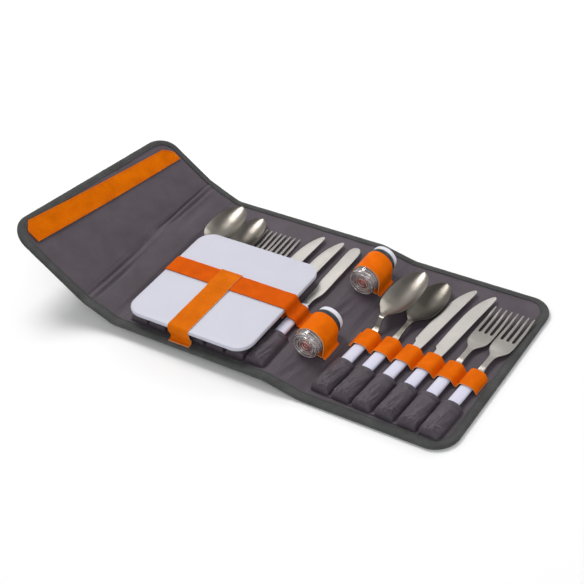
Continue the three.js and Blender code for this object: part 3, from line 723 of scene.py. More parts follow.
def plate(name, loop, zc, t, bevel, place, mat, pitch=1.6, k=None, sharp=38.0):
    """a plate cut to a closed outline: zc(x, y) its mid-surface, t its thickness, k(x, y) a share of t, bevel rounded edges"""
    P = np.asarray(loop, float)
    if area2(P) < 0:
        P = P[::-1]
    rings = [P] + [inset_loop(P, bevel * f) for f in (0.12, 0.45, 1.0)]
    drops = [bevel, bevel * 0.45, bevel * 0.12, 0.0]
    inner = rings[-1]
    xs = np.arange(P[:, 0].min(), P[:, 0].max(), pitch)
    ys = np.arange(P[:, 1].min(), P[:, 1].max(), pitch)
    gx, gy = np.meshgrid(xs, ys, indexing="ij")
    gx[:, ::2] += pitch / 2
    G = np.stack([gx.ravel(), gy.ravel()], 1)
    # inside and clear of the rim
    x, y = G[:, 0], G[:, 1]
    inside = np.zeros(len(G), bool)
    near = np.full(len(G), 1e9)
    A, B = inner, np.roll(inner, -1, 0)
    for a, b in zip(A, B):
        cond = (a[1] > y) != (b[1] > y)
        if cond.any():
            xi = (b[0] - a[0]) * (y[cond] - a[1]) / (b[1] - a[1]) + a[0]
            inside[cond] ^= x[cond] < xi
        near = np.minimum(near, (x - a[0]) ** 2 + (y - a[1]) ** 2)
    G = G[inside & (near > (pitch * 0.6) ** 2)]
    pts = [Vector(p) for p in inner] + [Vector(p) for p in G]
    n = len(inner)
    out = delaunay_2d_cdt(pts, [], [list(range(n))], 1, 1e-5)
    co = np.array([list(v) for v in out[0]])
    tri = out[2]
    back = {}
    for i, o in enumerate(out[3]):
        for q in o:
            back[q] = i
    V, F = [], []

    def zz(Q, sgn, drop):
        kk = np.ones(len(Q)) if k is None else np.asarray(k(Q[:, 0], Q[:, 1]), float)
        half = t / 2 * kk
        return zc(Q[:, 0], Q[:, 1]) + sgn * (half - np.minimum(drop, half * 0.92))

    base = []
    for sgn in (1, -1):
        off = len(V)
        V += np.c_[co, zz(co, sgn, 0.0)].tolist()
        for f in tri:
            F.append([off + i for i in f] if sgn > 0 else [off + i for i in reversed(f)])
        prev = [off + back[i] for i in range(n)]
        for ring, drop in ((rings[2], drops[2]), (rings[1], drops[1]), (rings[0], drops[0])):
            o2 = len(V)
            V += np.c_[ring, zz(ring, sgn, drop)].tolist()
            cur = [o2 + i for i in range(n)]
            for i in range(n):
                i2 = (i + 1) % n
                q = (prev[i], cur[i], cur[i2], prev[i2])
                F.append(q if sgn > 0 else q[::-1])
            prev = cur
        base.append(prev)
    for i in range(n):
        i2 = (i + 1) % n
        F.append((base[0][i], base[1][i], base[1][i2], base[0][i2]))
    V = np.array(V)
    return fix_normals(make(name, place(V[:, 0], V[:, 1], V[:, 2]), F, mat, None, sharp))


RIDES = []


def on(ob, body, nodes=()):
    if isinstance(body, tuple):
        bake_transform(ob)
    else:
        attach(ob, body)
    if nodes:
        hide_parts(*nodes)
    return ob


# =====================================================================================
# the wallet: one soft run of cloth over five boards, cut into four runs that bend at the folds
# =====================================================================================
MID_R, MID_L = 122.1, -121.5
K = 7.0
BEND = {
    "r1": ("middle_panel", "right_spine", (FB[0] - K, 0, FB[2]), (FB[0] + K, 0, FB[2])),
    "r2": ("right_spine", "right_panel", (FA[0] - K, 0, FA[2]), (FA[0] + K, 0, FA[2])),
    "l1": ("middle_panel", "left_spine", (FC[0] + K, 0, FC[2]), (FC[0] - K, 0, FC[2])),
    "l2": ("left_spine", "flap", (FD[0] + K, 0, FD[2]), (FD[0] - K, 0, FD[2])),
}
RUNS = {"r1": (0.0, MID_R), "r2": (MID_R, sR), "l1": (MID_L, 0.0), "l2": (sF, MID_L)}


def crease(s, y, s0, y0, s1, y1, w, depth):
    d = np.array([s1 - s0, y1 - y0])
    L = np.hypot(*d)
    t = np.clip(((s - s0) * d[0] + (y - y0) * d[1]) / L ** 2, 0, 1)
    r = np.hypot(s - s0 - t * d[0], y - y0 - t * d[1])
    fade = np.sin(np.pi * np.clip(t, 0.02, 0.98)) ** 0.5
    return depth * fade * np.exp(-(r / w) ** 2)


def lining_h(s, y):
    busy = sstep(sC - 1, sC + 6, s) * (1 - sstep(sB - 6, sB + 1, s)) + sstep(sA - 1, sA + 6, s)
    edge = np.clip((H - 13 - np.abs(y)) / 14, 0, 1)
    h = -0.15 + 0.12 * fbm(s / 16, y / 19, 3)
    free = (1 - np.clip(busy, 0, 1)) * edge
    h = h + free * (0.75 * fbm(s / 24, y / 46, 11) + 0.3 * fbm(s / 8, y / 15, 17) + 0.1)
    # soft folds beside the flap's hinge, and across the right spine
    # pressed creases along the flap's hinge: a groove with a ridge beside it at each end
    h = h - crease(s, y, sD - 1.0, E(6), sD + 1.5, E(112), 1.5, 1.9)
    h = h + crease(s, y, sD + 2.6, E(8), sD + 5.5, E(104), 1.9, 1.5)
    h = h - crease(s, y, sD + 6.2, E(12), sD + 9.5, E(84), 1.6, 0.9)
    h = h - crease(s, y, sD + 1.0, E(245), sD - 2.5, E(142), 1.5, 1.9)
    h = h + crease(s, y, sD + 4.4, E(244), sD + 1.4, E(150), 1.9, 1.6)
    h = h - crease(s, y, sD + 8.0, E(243), sD + 5.0, E(158), 1.5, 1.4)
    h = h + crease(s, y, sD + 11.2, E(240), sD + 8.4, E(170), 1.9, 0.9)
    h = h - crease(s, y, sD + 17, E(150), sD + 15, E(228), 3.0, 0.6)
    h = h - crease(s, y, sC - 2, E(20), sC - 2, E(236), 2.6, 1.4)
    h = h - crease(s, y, sD, E(60), sD, E(200), 3.0, 0.7)
    h = h + crease(s, y, sA - 10, E(120), sA - 2, E(215), 3.0, 1.1)
    h = h + crease(s, y, sB + 6, E(98), sB + 32, E(150), 4.0, 0.9)
    h = h - crease(s, y, sA, E(10), sA, E(240), 2.4, 1.1)
    # drawn-up cloth on the right spine, between and beside the shakers
    h = h + crease(s, y, sB + 5, E(112), sB + 12, E(160), 2.2, 0.9)
    h = h - crease(s, y, sB + 9, E(108), sB + 17, E(152), 2.2, 0.8)
    h = h + crease(s, y, sB + 14, E(104), sB + 23, E(146), 2.2, 0.9)
    h = h - crease(s, y, sB + 20, E(112), sB + 27, E(158), 2.2, 0.7)
    h = h + crease(s, y, sB + 6, E(14), sB + 14, E(44), 2.2, 0.9)
    h = h - crease(s, y, sB + 12, E(12), sB + 21, E(46), 2.2, 0.8)
    h = h + crease(s, y, sB + 20, E(14), sB + 30, E(52), 2.2, 0.9)
    h = h - crease(s, y, sB, E(10), sB, E(240), 2.5, 0.7)
    return h


def ylimit(s, inset, r):
    """half depth of the wallet at s, rounded at the free corners"""
    lim = np.full(np.shape(s), H - inset)
    for edge, sg in ((sR, 1), (sF, -1)):
        u = sg * (s - (edge - sg * (r + inset)))
        cut = H - inset - r + np.sqrt(np.maximum(r * r - np.clip(u, 0, r) ** 2, 0))
        lim = np.where(u > 0, cut, lim)
    return lim


def run_grid(s0, s1, step, inset):
    lo, hi = s0, s1
    if s1 == sR:
        hi = sR - inset
    if s0 == sF:
        lo = sF + inset
    n = int(round((hi - lo) / step)) + 1
    s = np.linspace(lo, hi, n)
    fine = np.arange(sD - 8, sD + 14, 0.8)
    fine = fine[(fine > lo + 0.4) & (fine < hi - 0.4)]
    if len(fine):
        s = np.sort(np.r_[s[(s < fine[0] - 0.4) | (s > fine[-1] + 0.4)], fine])
    v = np.linspace(-1, 1, int(round(2 * H / step)) + 1)
    lim = ylimit(s, inset, CR - inset)
    return s[:, None] + 0 * v[None], v[None] * lim[:, None]


def edge_path(run):
    """(s, y, inward normal, tape width) along the outer edge of a run"""
    s0, s1 = RUNS[run]
    out = []

    def line(p, q, nrm, w, step=3.0):
        L = math.hypot(q[0] - p[0], q[1] - p[1])
        for t in np.linspace(0, 1, max(2, int(L / step))):
            out.append((p[0] + (q[0] - p[0]) * t, p[1] + (q[1] - p[1]) * t, *nrm, w))

    def arc(c, a0, a1, w0, w1, n=16):
        for i in range(1, n):
            t = i / n
            a = math.radians(a0 + (a1 - a0) * t)
            tt = t * t * (3 - 2 * t)
            out.append((c[0] + CR * math.cos(a), c[1] + CR * math.sin(a), -math.cos(a), -math.sin(a), w0 + (w1 - w0) * tt))

    if run == "r2":
        line((s0, -H), (sR - CR, -H), (0, 1), 11)
        arc((sR - CR, -H + CR), -90, 0, 11, 10)
        line((sR, -H + CR), (sR, H - CR), (-1, 0), 10)
        arc((sR - CR, H - CR), 0, 90, 10, 8)
        line((sR - CR, H), (s0, H), (0, -1), 8)
        return [out]
    if run == "l2":
        line((s1, H), (sF + CR, H), (0, -1), 8)
        arc((sF + CR, H - CR), 90, 180, 8, 8.5)
        line((sF, H - CR), (sF, -H + CR), (1, 0), 8.5)
        arc((sF + CR, -H + CR), 180, 270, 8.5, 9.5)
        line((sF + CR, -H), (s1, -H), (0, 1), 9.5, 3.0)
        out = [(a, b, c, d, w + (11.0 - 9.5) * float(sstep(sF + CR + 20, s1, a)) * (b < 0)) for a, b, c, d, w in out]
        return [out]
    near, far = [], []
    line((s0, -H), (s1, -H), (0, 1), 11)
    near, out = out, []
    line((s1, H), (s0, H), (0, -1), 8)
    return [near, out]


def tape_profile(w):
    top = [(w, 0.10), (w - 0.3, 0.74), (w - 1.0, 0.86), (w - 1.7, 0.78), (w - 2.1, 0.42), (w - 2.5, 0.74), (w * 0.55, 0.72), (3.4, 0.86), (2.6, 0.80), (1.2, 0.45), (0.3, -0.5), (0.0, -1.8)]
    low = [(0.3, -3.1), (1.2, -4.05), (2.6, -4.40), (3.4, -4.44), (w * 0.55, -4.32), (w - 2.5, -4.34), (w - 2.1, -4.05), (w - 1.7, -4.38), (w - 1.0, -4.42), (w - 0.3, -4.3), (w, -3.7)]
    inner = [(w - 0.3, -3.66), (3.0, -3.85), (1.6, -3.55), (0.8, -2.8), (0.65, -1.8), (0.8, -0.8), (1.6, -0.05), (3.0, 0.25), (w - 0.3, 0.06)]
    return top + low + inner


def tape(name, path, seed):
    rings, uvs = [], []
    acc = 0
    last = None
    for s, y, nx, ny, w in path:
        if last is not None:
            acc += math.hypot(s - last[0], y - last[1])
        last = (s, y)
        ww = w + 0.35 * float(noise(acc / 23, 0.3, seed))
        pr = np.array(tape_profile(ww))
        hh = pr[:, 1] + np.where(pr[:, 1] > -1.8, 1, -1) * 0.10 * (1 + noise(acc / 11 + 0 * pr[:, 0], pr[:, 0] / 5, seed + 5)) * (pr[:, 0] > 1)
        rings.append(W(s + nx * pr[:, 0], y + ny * pr[:, 0], hh))
        d = np.r_[0, np.cumsum(np.linalg.norm(np.diff(pr, axis=0), axis=1))]
        uvs.append(np.stack([np.full(len(pr), acc), d], 1) / 1000)
    return fix_normals(tube_rings(name, np.array(rings), BINDING, np.array(uvs), True, 45)), acc


def tape_stitch_paths(path):
    out = []
    for e_off, h, sg in ((2.1, 0.50, 1), (2.1, -4.10, -1)):
        P, N = [], []
        for s, y, nx, ny, w in path:
            a = W(s + nx * (w - e_off), y + ny * (w - e_off), h)
            b = W(s + nx * (w - e_off), y + ny * (w - e_off), h + sg)
            P.append(a)
            N.append(b - a)
        out.append((np.array(P), np.array(N)))
    return out


LINING_NODES = {"r1": ["middle_sleeve", "right_spine_sleeve"], "r2": ["right_panel_sleeve"], "l1": ["left_spine_sleeve"], "l2": ["flap_sleeve"]}
TAPE_NODES = {"r1": [["middle_near_binding"], ["middle_far_binding"]], "r2": [["right_panel_binding"]], "l1": [[], []], "l2": [["flap_binding"]]}
LABEL = {"r1": "middle_right", "r2": "right", "l1": "middle_left", "l2": "flap"}
STEP = 2.4
for run, (s0, s1) in RUNS.items():
    S, Y = run_grid(s0, s1, STEP, 3.0)
    top = W(S, Y, lining_h(S, Y))
    uv = np.stack([S, Y], -1) / 1000
    lining = sheet_from(f"lining_{LABEL[run]}", top, 0.6, LINING, uv)
    # folds and seams sewn through the lining
    on(lining, BEND[run], LINING_NODES[run])
    # outer cover, facing down
    hc = -3.35 - 0.22 * fbm(S / 22, Y / 26, 31) - 0.12 * fbm(S / 7, Y / 9, 37)
    low = W(S, Y, hc)[:, ::-1]
    cover = sheet_from(f"cover_{LABEL[run]}", low, 0.5, COVER, uv[:, ::-1])
    on(cover, BEND[run], ())
    for i, path in enumerate(edge_path(run)):
        tag = "edge" if len(edge_path(run)) == 1 else ("near", "far")[i]
        ob, length = tape(f"binding_{LABEL[run]}_{tag}", path, 7 + i)
        w = 2 * path[0][4] + 4.6
        st = stitches(f"binding_thread_{LABEL[run]}_{tag}", tape_stitch_paths(path), THREAD_DARK, r=0.3)
        on(ob, BEND[run], TAPE_NODES[run][i])
        on(st, BEND[run])

# sewn lines either side of each fold
for run, lines in {"r1": [sB - 6.5, sB + 6.5], "r2": [sA - 6.5, sA + 5.0], "l1": [sC + 6.5, sC - 6.5], "l2": [sD + 6.5, sD - 6.5]}.items():
    paths = []
    for s in lines:
        y = np.linspace(-H + 12.5, H - 8.5, 120)
        h = lining_h(s + 0 * y, y)
        P = W(s + 0 * y, y, h)
        paths.append((P, W(s + 0 * y, y, h + 1) - P))
    on(stitches(f"fold_thread_{LABEL[run]}", paths, THREAD_DARK, r=0.2, lift=0.05), BEND[run])


# =====================================================================================
# pocket rows
# =====================================================================================
def superarch(n, half, height, power=2.7):
    th = np.linspace(math.pi, 0, n)
    c, s = np.cos(th), np.sin(th)
    return half * np.sign(c) * np.abs(c) ** (2 / power), height * np.abs(s) ** (2 / power)


def pocket_folds(seed):
    """the folds pressed into one pocket: (u0, y0, u1, y1, half width, height), u across it"""
    r = np.random.default_rng(seed)
    out = []
    for k in range(4):
        u0, y0 = -9 + 5.2 * k + r.uniform(-1.5, 1.5), r.uniform(17, 30)
        out.append((u0, y0, u0 + r.uniform(0.5, 6.5), y0 + r.uniform(15, 28), r.uniform(0.8, 1.25), r.uniform(0.45, 0.85)))
        out.append((u0 + 2.3, y0 - r.uniform(0, 6), u0 + 2.3 + r.uniform(0, 5), y0 + r.uniform(12, 22), r.uniform(0.9, 1.4), -r.uniform(0.3, 0.6)))
    for k in range(6):
        u0 = -9.5 + 3.6 * k + r.uniform(-1.0, 1.0)
        out.append((u0, 13.9, u0 + r.uniform(-3.5, 5.5), 19 + r.uniform(2, 10), r.uniform(0.75, 1.15), r.uniform(0.55, 1.1)))
    for k in range(3):
        u0, y0 = r.uniform(-8, 2), r.uniform(15.5, 25)
        out.append((u0, y0, u0 + r.uniform(6, 11), y0 + r.uniform(1, 6), r.uniform(0.8, 1.2), r.uniform(0.4, 0.7)))
    return out


def pocket_row(name, centres, tilts, x0, x1, place, body, node, seed):
    ya, yb = 13.6, 62.0
    t = np.linspace(0, 1, 76)
    ys = ya + (yb - ya) * (0.42 * t + 0.58 * t ** 1.7)
    lines = [pocket_folds(seed * 31 + i) for i in range(len(centres))]
    ys = np.sort(np.r_[ys, 55.9, 56.5, 57.0])
    xr, zr = superarch(57, 12.15, 9.3, 2.15)
    rows = []
    for y in ys:
        u = np.clip((y - ya) / 8.5, 0, 1)
        f = (1 - (1 - u) ** 2.6) ** (1 / 2.6)
        wf = 0.72 + 0.28 * f
        line = [(x0 if y > 24 else centres[0] + (x0 - centres[0]) * wf, 0.85)]
        for i, c in enumerate(centres):
            sh = (y - 101) * math.sin(math.radians(tilts[i])) * 0.95
            puff = 1 + 0.05 * float(noise(i * 3.1, y / 17, seed + 2))
            tuck = 1 - 0.05 * float(sstep(50, 60, y))
            xx = c + sh + xr * wf * tuck * (1 + 0.02 * float(noise(i * 1.7, y / 12, seed)))
            zz = 0.85 + zr * f * min(puff, 1.06) * (1 - 0.04 * float(sstep(50, 60, y)))
            # sideways gathers, deepest at the closed end
            amp = 0.35 + 1.1 * math.exp(-(y - ya) / 9)
            g = fbm((xx - c) / 4.2 + i * 9.0, y / 7.5 + i, seed + 4, 3)
            diag = fbm(((xx - c) + 0.8 * y) / 6.0 + i * 5.0, (y - 0.5 * (xx - c)) / 15 + i * 3, seed + 9, 2)
            k = np.clip(zr / 4, 0, 1)
            zz = zz + k * f * (0.6 * amp * g + 0.45 * diag)
            for q in lines[i]:
                zz = zz + k * f * crease(xx - c - sh, y, *q)
            xx = xx + np.sign(xr) * k * 0.35 * f * fbm(y / 6 + 0 * xr, zr / 5 + i, seed + 6, 2)
            line += list(zip(xx, np.maximum(zz, 0.85)))
        line.append((x1 if y > 24 else centres[-1] + (x1 - centres[-1]) * wf, 0.85))
        rows.append([(x, z) for x, z in line])
    R = np.array(rows).transpose(1, 0, 2)                       # across, along y
    yy = np.broadcast_to(ys[None], R.shape[:2])
    P = place(R[..., 0], E(0) + yy, R[..., 1])
    N = grid_normals(P)
    hem = 0.28 * sstep(56.0, 56.9, yy)
    P = P + N * hem[..., None]
    ob = sheet_from(name, P, 0.6, POCKET, None)
    mid = P[:, 25:, :]
    paths = []
    # hem thread
    j = int(np.argmin(np.abs(ys - 57.6)))
    paths.append((P[2:-2, j], N[2:-2, j]))
    # threads down each valley
    m = len(xr)
    for i in range(len(centres) - 1):
        a = P[1 + (i + 1) * m - 1]
        b = P[1 + (i + 1) * m]
        q = (a + b) / 2
        paths.append((q[10:], place(0 * q[10:, 0], 0 * q[10:, 0], 1 + 0 * q[10:, 0]) - place(0 * q[10:, 0], 0 * q[10:, 0], 0 * q[10:, 0])))
    th = stitches(name + "_thread", paths, THREAD_DARK, pitch=3.0, length=2.0, r=0.2, lift=0.08)
    on(ob, body, [node])
    on(th, body)
    return ob


TILT_R = [1.0, 1.2, 1.5, 0.7, 0, 0.4]
TILT_M = [-1.3, 0, 0, 0, 0, 0, 0]
pocket_row("pocket_row_right", RIGHT_X, TILT_R, 7.2, 160.2, on_set, "right_panel", "right_pocket_row", 41)
pocket_row("pocket_row_middle", MID_X, TILT_M, -88.0, 92.6, on_middle, "middle_panel", "middle_pocket_row", 61)


# =====================================================================================
# elastic over the handles
# =====================================================================================
def elastic_band(name, centres, tilts, x0, x1, pitch, place, body, node, seed):
    ys = np.linspace(88, 114, 19)
    half = [(12.85, 0.95), (12.3, 1.1), (11.1, 3.0), (9.9, 5.4), (8.7, 7.3), (7.1, 8.7), (4.9, 9.55), (2.4, 9.85), (0, 9.95)]
    hx = np.array([p[0] for p in half])
    hz = np.array([p[1] for p in half])
    rows = []
    for y in ys:
        e = (y - 101) / 13
        line = [(x0, 0.95), (min(x0 + 1, centres[0] - 12.9), 0.95)]
        for i, c in enumerate(centres):
            lim_l = min(12.85, c - x0 - 0.4) if i == 0 else 12.85
            lim_r = min(12.85, x1 - c - 0.4) if i == len(centres) - 1 else 12.85
            sh = (y - 101) * math.sin(math.radians(tilts[i])) * 0.8
            wob = 0.18 * float(noise(i * 2.3, y / 8, seed))
            left = [(c + sh - min(x, 12.85) * 1.0, z + wob * (z > 5)) for x, z in zip(hx, hz)]
            left = [(max(x, c - lim_l) if i == 0 else x, z) for x, z in left]
            right = [(c + sh + x, z + wob * (z > 5)) for x, z in zip(hx[:-1][::-1], hz[:-1][::-1])]
            right = [(min(x, c + lim_r) if i == len(centres) - 1 else x, z) for x, z in right]
            line += left + right
        line += [(max(x1 - 0.2, centres[-1] + 10.9), 0.95), (x1, 0.95)]
        rows.append(line)
    R = np.array(rows).transpose(1, 0, 2)
    # densify across with a smooth curve
    m0 = R.shape[0]
    t0 = np.arange(m0)
    t1 = np.linspace(0, m0 - 1, (m0 - 1) * 3 + 1)
    X = np.stack([pchip(t0.astype(float), R[:, j, 0], t1) for j in range(R.shape[1])], 1)
    Z = np.stack([pchip(t0.astype(float), R[:, j, 1], t1) for j in range(R.shape[1])], 1)
    yy = np.broadcast_to(ys[None], X.shape)
    low = np.clip(1 - (Z - 0.95) / 8.8, 0, 1)
    yy = yy - 0.9 * low * (yy - 101) / 13 + 0.35 * noise(X / 9, yy / 40, seed + 3) * ((yy - 101) / 13) ** 2
    P = place(X, E(0) + yy, Z)
    P = P + grid_normals(P) * (0.07 * noise(X / 3.4, yy / 3.4, seed + 7))[..., None]
    ob = sheet_from(name, P, 0.85, ELASTIC, None)
    paths = []
    up = place(0.0, 0.0, 1.0) - place(0.0, 0.0, 0.0)
    for i in range(len(centres) - 1):
        xv = (centres[i] + centres[i + 1]) / 2
        y = np.linspace(89.4, 112.6, 12)
        q = place(xv + 0 * y, E(0) + y, 1.0 + 0 * y)
        paths.append((q, np.broadcast_to(up, q.shape)))
    th = stitches(name + "_thread", paths, THREAD_ORANGE, pitch=2.4, length=1.7, r=0.22, lift=0.1)
    on(ob, body, [node])
    on(th, body)
    return ob


elastic_band("elastic_right", RIGHT_X, TILT_R, 5.0, 160.0, PITCH_R, on_set, "right_panel", "right_elastic_band", 71)
elastic_band("elastic_middle", MID_X[:6], TILT_M, -88.4, 66.4, PITCH_M, on_middle, "middle_panel", "middle_elastic_band", 81)


# =====================================================================================
# straps over the board
# =====================================================================================
def strap(name, path2, width, across, mat, th, body, node, seed, place, n=15, wave=0.12, r=2.2):
    """path2 in the strap's own plane, across(t) the offset along its width; across is not used"""
    line = round_path(path2, r, 0.9)
    seg = np.r_[0, np.cumsum(np.linalg.norm(np.diff(line, axis=0), axis=1))]
    v = np.linspace(-width / 2, width / 2, n)
    A = line[:, 0][:, None] + 0 * v[None]
    B = line[:, 1][:, None] + 0 * v[None]
    P = place(A, B, v[None] + 0 * A)
    P = P + grid_normals(P) * (wave * noise(seg[:, None] / 9 + 0 * v[None], v[None] / 7 + 0 * A, seed))[..., None]
    uv = np.stack([seg[:, None] + 0 * v[None], v[None] + 0 * A], -1) / 1000
    ob = sheet_from(name, P, th, mat, uv)
    on(ob, body, [node] if node else [])
    return ob, P


ZT = 15.3 + 5.0 + 0.4 + 0.9
CX0, CX1 = -85.8, 74.7
SX = MID_X[6]
cross_path = [(CX0 - 8.2, 1.35), (CX0 - 3.4, 1.35), (CX0 - 1.9, 3.6), (CX0 - 1.7, ZT - 2.2), (CX0 + 0.6, ZT + 0.2), (CX0 + 30, ZT + 0.25), (CX1 - 0.6, ZT + 0.15), (CX1 + 1.6, ZT - 2.4), (CX1 + 2.6, 13.0), (SX + 0.6, 10.6), (SX + 4.4, 10.0), (SX + 7.4, 8.2), (SX + 8.9, 4.8), (SX + 9.6, 1.7), (SX + 10.8, 1.4), (SX + 13.6, 1.35)]
cross, CP = strap("cross_strap_tape", cross_path, 25.0, None, STRAP_C, 0.9, "middle_panel", "cross_strap", 91,
                  lambda a, b, v: on_middle(a, E(96.5) + v, b))
Z2 = ZT + 1.3
len_path = [(E(3.5), 2.1), (E(7.2), 2.2), (E(9.0), 4.4), (E(6.4), 12.2), (E(5.9), 19.2), (E(8.2), 21.75), (E(14), 21.75), (E(77.5), 21.75), (E(82.6), Z2 + 0.1), (E(109.6), Z2 + 0.1), (E(110.9), Z2 - 1.3), (E(110.9), 20.9)]
lengthwise, LP = strap("lengthwise_strap_tape", len_path, 27.0, None, STRAP_L, 0.9, "middle_panel", "lengthwise_strap", 93,
                       lambda a, b, v: on_middle(-11.2 - v, a, b))
paths = []
for P, idx in ((LP, (6, -7)),):
    N = grid_normals(P)
    k0 = int(np.argmin(np.abs(P[:, 7, 1] - E(86.5)) + 100 * (P[:, 7, 2] < FB[2] + 20)))
    k1 = int(np.argmin(np.abs(P[:, 7, 1] - E(107.0)) + 100 * (P[:, 7, 2] < FB[2] + 20)))
    for k in (k0, k1):
        paths.append((P[k, 1:-1], N[k, 1:-1]))
    k2 = int(np.argmin(np.abs(P[:, 7, 1] - E(5.2)) + 100 * (P[:, 7, 2] > FB[2] + 4)))
    paths.append((P[k2, 1:-1], N[k2, 1:-1]))
N = grid_normals(CP)
for k in (3, len(CP) - 4):
    paths.append((CP[k, 1:-1], N[k, 1:-1]))
st = stitches("strap_thread", paths, THREAD_ORANGE, pitch=2.6, length=1.9, r=0.22, lift=0.12)
on(st, "middle_panel")


# =====================================================================================
# closure strips
# =====================================================================================
def closure(name, sa, sb, ylim, h_top, th, mat, body, node, rests, down=False, seed=0, askew=(0.0, 0.0), slide=0.0):
    s = np.linspace(sa, sb, 15)
    v = np.linspace(-1, 1, 110)
    lim = np.array([ylim(q) for q in s])
    S, Y = s[:, None] + 0 * v[None], v[None] * lim[:, None]
    S, Y = S + askew[0] + askew[1] * Y / 112.0, Y + slide
    h = h_top + 0.12 * fbm(S / 2.2, Y / 2.2, seed, 2) * (-1 if down else 1)
    P = W(S, Y, h)
    uv = np.stack([Y, S], -1) / 1000
    if down:
        P, uv = P[:, ::-1], uv[:, ::-1]
    ob = sheet_from(name, P, th, mat, uv)
    N = grid_normals(P)
    loops = np.concatenate([P[1:-1, 1], P[-2, 1:-1], P[1:-1, -2][::-1], P[1, 1:-1][::-1]])
    ln = np.concatenate([N[1:-1, 1], N[-2, 1:-1], N[1:-1, -2][::-1], N[1, 1:-1][::-1]])
    st = stitches(name + "_thread", [(loops, ln)], THREAD_ORANGE, pitch=3.2, length=2.2, r=0.22, lift=0.12)
    on(ob, body, [node])
    on(st, body)


closure("hook_strip", sD - 91.5, sD - 66.5, lambda q: 112 - max(0.0, (sD - q) - 81.5), 1.7, 1.3, HOOKS, "flap", "flap_hook_strip", ["lining_flap"], seed=101, askew=(1.2, 7.5), slide=2.0)
closure("loop_strip", sA + 102.4, sA + 126.4, lambda q: 100.0, -4.30, 0.5, HOOKS, "right_panel", "outside_loop_strip", ["cover_right"], down=True, seed=103)


# =====================================================================================
# cutlery
# =====================================================================================
def handle(name, place, body, node):
    st = np.array([[0, 1], [14, 1], [52, 0.975], [86, 0.905], [94, 0.84], [98.0, 0.80]])
    d = np.r_[5.2 * (1 - np.cos(np.linspace(0.06, math.pi / 2, 12))), np.linspace(6.5, 92, 34), 92 + 5.4 * np.sin(np.linspace(0.15, math.pi / 2 * 0.97, 9))]
    k = pchip(st[:, 0], st[:, 1], d)
    a = np.where(d < 5.2, (1 - (1 - np.clip(d / 5.2, 0, 1)) ** 2.4) ** (1 / 2.4), 1)
    b = np.where(d > 92, np.maximum(1 - np.clip((d - 92) / 5.5, 0, 1) ** 2.6, 0.02) ** (1 / 2.6), 1)
    k = k * a * b
    th = np.linspace(0, 2 * math.pi, 49)[:-1]
    c, s = np.cos(th), np.sin(th)
    p = 2 / 2.35
    X = 7.0 * k[:, None] * (np.sign(c) * np.abs(c) ** p)[None]
    Z = 4.7 + 3.7 * k[:, None] * (np.sign(s) * np.abs(s) ** p)[None]
    Yv = np.broadcast_to((E(18.5) + d)[:, None], X.shape)
    ob = fix_normals(tube_rings(name, place(X, Yv, Z), HANDLE, None, True, 60))
    return on(ob, body, [node])


def spoon(name, rim, place, body, node, roll=-10.0, yaw=0.0, ext=0.0, pitch=0.0, mat=None, slim=1.0):
    rows = np.array([
        [93.5, 2.3, 5.45, 0, 1.5], [114, 2.3, 5.45, 0, 1.5], [116.4, 4.3, 5.45, 0, 1.5], [121, 3.7, 5.8 + 0.1 * (rim - 5), 0, 1.8], [128, 3.2, 5.7 + 0.35 * (rim - 4.7), 0.05, 2.0],
        [136, 3.0, 5.7 + 0.68 * (rim - 5.4), 0.1, 2.0], [142, 3.2, rim - 0.5, 0.15, 1.9], [147, 4.2, rim - 0.1, 0.3, 1.5], [153, 9.2, rim, 1.8, 1.1], [159, 14.8, rim, 3.6, 1.0], [168, 18.6, rim, 5.3, 1.0], [180, 19.8, rim, 6.2, 1.0],
        [192, 18.7, rim, 5.7, 1.0], [203, 15.4, rim, 4.3, 1.0], [211, 10.8, rim, 2.6, 1.0], [215.6, 6.4, rim, 1.2, 1.0], [217.6, 2.6, rim, 0.4, 0.9], [218.2, 0.5, rim, 0.1, 0.8]])
    y = np.r_[np.linspace(93.5, 114, 4), np.linspace(115, 150, 26), np.linspace(151, 208, 44), np.linspace(209, 217.0, 12), 217.6, 218.0, 218.2]
    hw, zt, dp, t = (pchip(rows[:, 0], rows[:, i], y) for i in (1, 2, 3, 4))
    hw = hw * (1 - (1 - slim) * sstep(144, 158, y))
    u = np.sin(np.linspace(-1, 1, 31) * math.pi / 2 * 0.98) / math.sin(math.pi / 2 * 0.98)
    e = np.minimum(0.28, hw * 0.2)
    top = np.stack([(hw - e)[:, None] * u[None], np.broadcast_to(y[:, None], (len(y), 31)), zt[:, None] - dp[:, None] * (1 - np.abs(u[None]) ** 2.2)], -1)
    bot = top.copy()
    bot[..., 2] -= t[:, None]
    rt = np.stack([hw, y, zt - t / 2], -1)[:, None]
    lt = rt * np.array([-1, 1, 1])
    ring = np.concatenate([top, rt, bot[:, ::-1], lt], 1)
    # the bowl lies rolled a little to one side
    g = np.radians(roll) * sstep(140, 164, y)[:, None]
    zm = (zt - t / 2)[:, None]
    X, Z = ring[..., 0], ring[..., 2] - zm
    Xr = X * np.cos(g) - Z * np.sin(g)
    Zr = X * np.sin(g) + Z * np.cos(g) + zm
    Xr = Xr + np.tan(math.radians(yaw)) * np.maximum(ring[..., 1] - 146, 0)
    yr = ring[..., 1] - (8.0 * sstep(118, 146, ring[..., 1]) * (1 - sstep(150, 205, ring[..., 1])) if pitch > 2.2 else 0)
    lift = np.maximum(yr - 138, 0)
    Zr = Zr + math.tan(math.radians(pitch)) * lift ** 2 / (lift + 8)
    P = place(Xr, E(0) + yr + ext * sstep(118, 150, ring[..., 1]), Zr)
    return on(fix_normals(tube_rings(name, P, mat or STEEL_SPOON, None, True, 50)), body, [node])


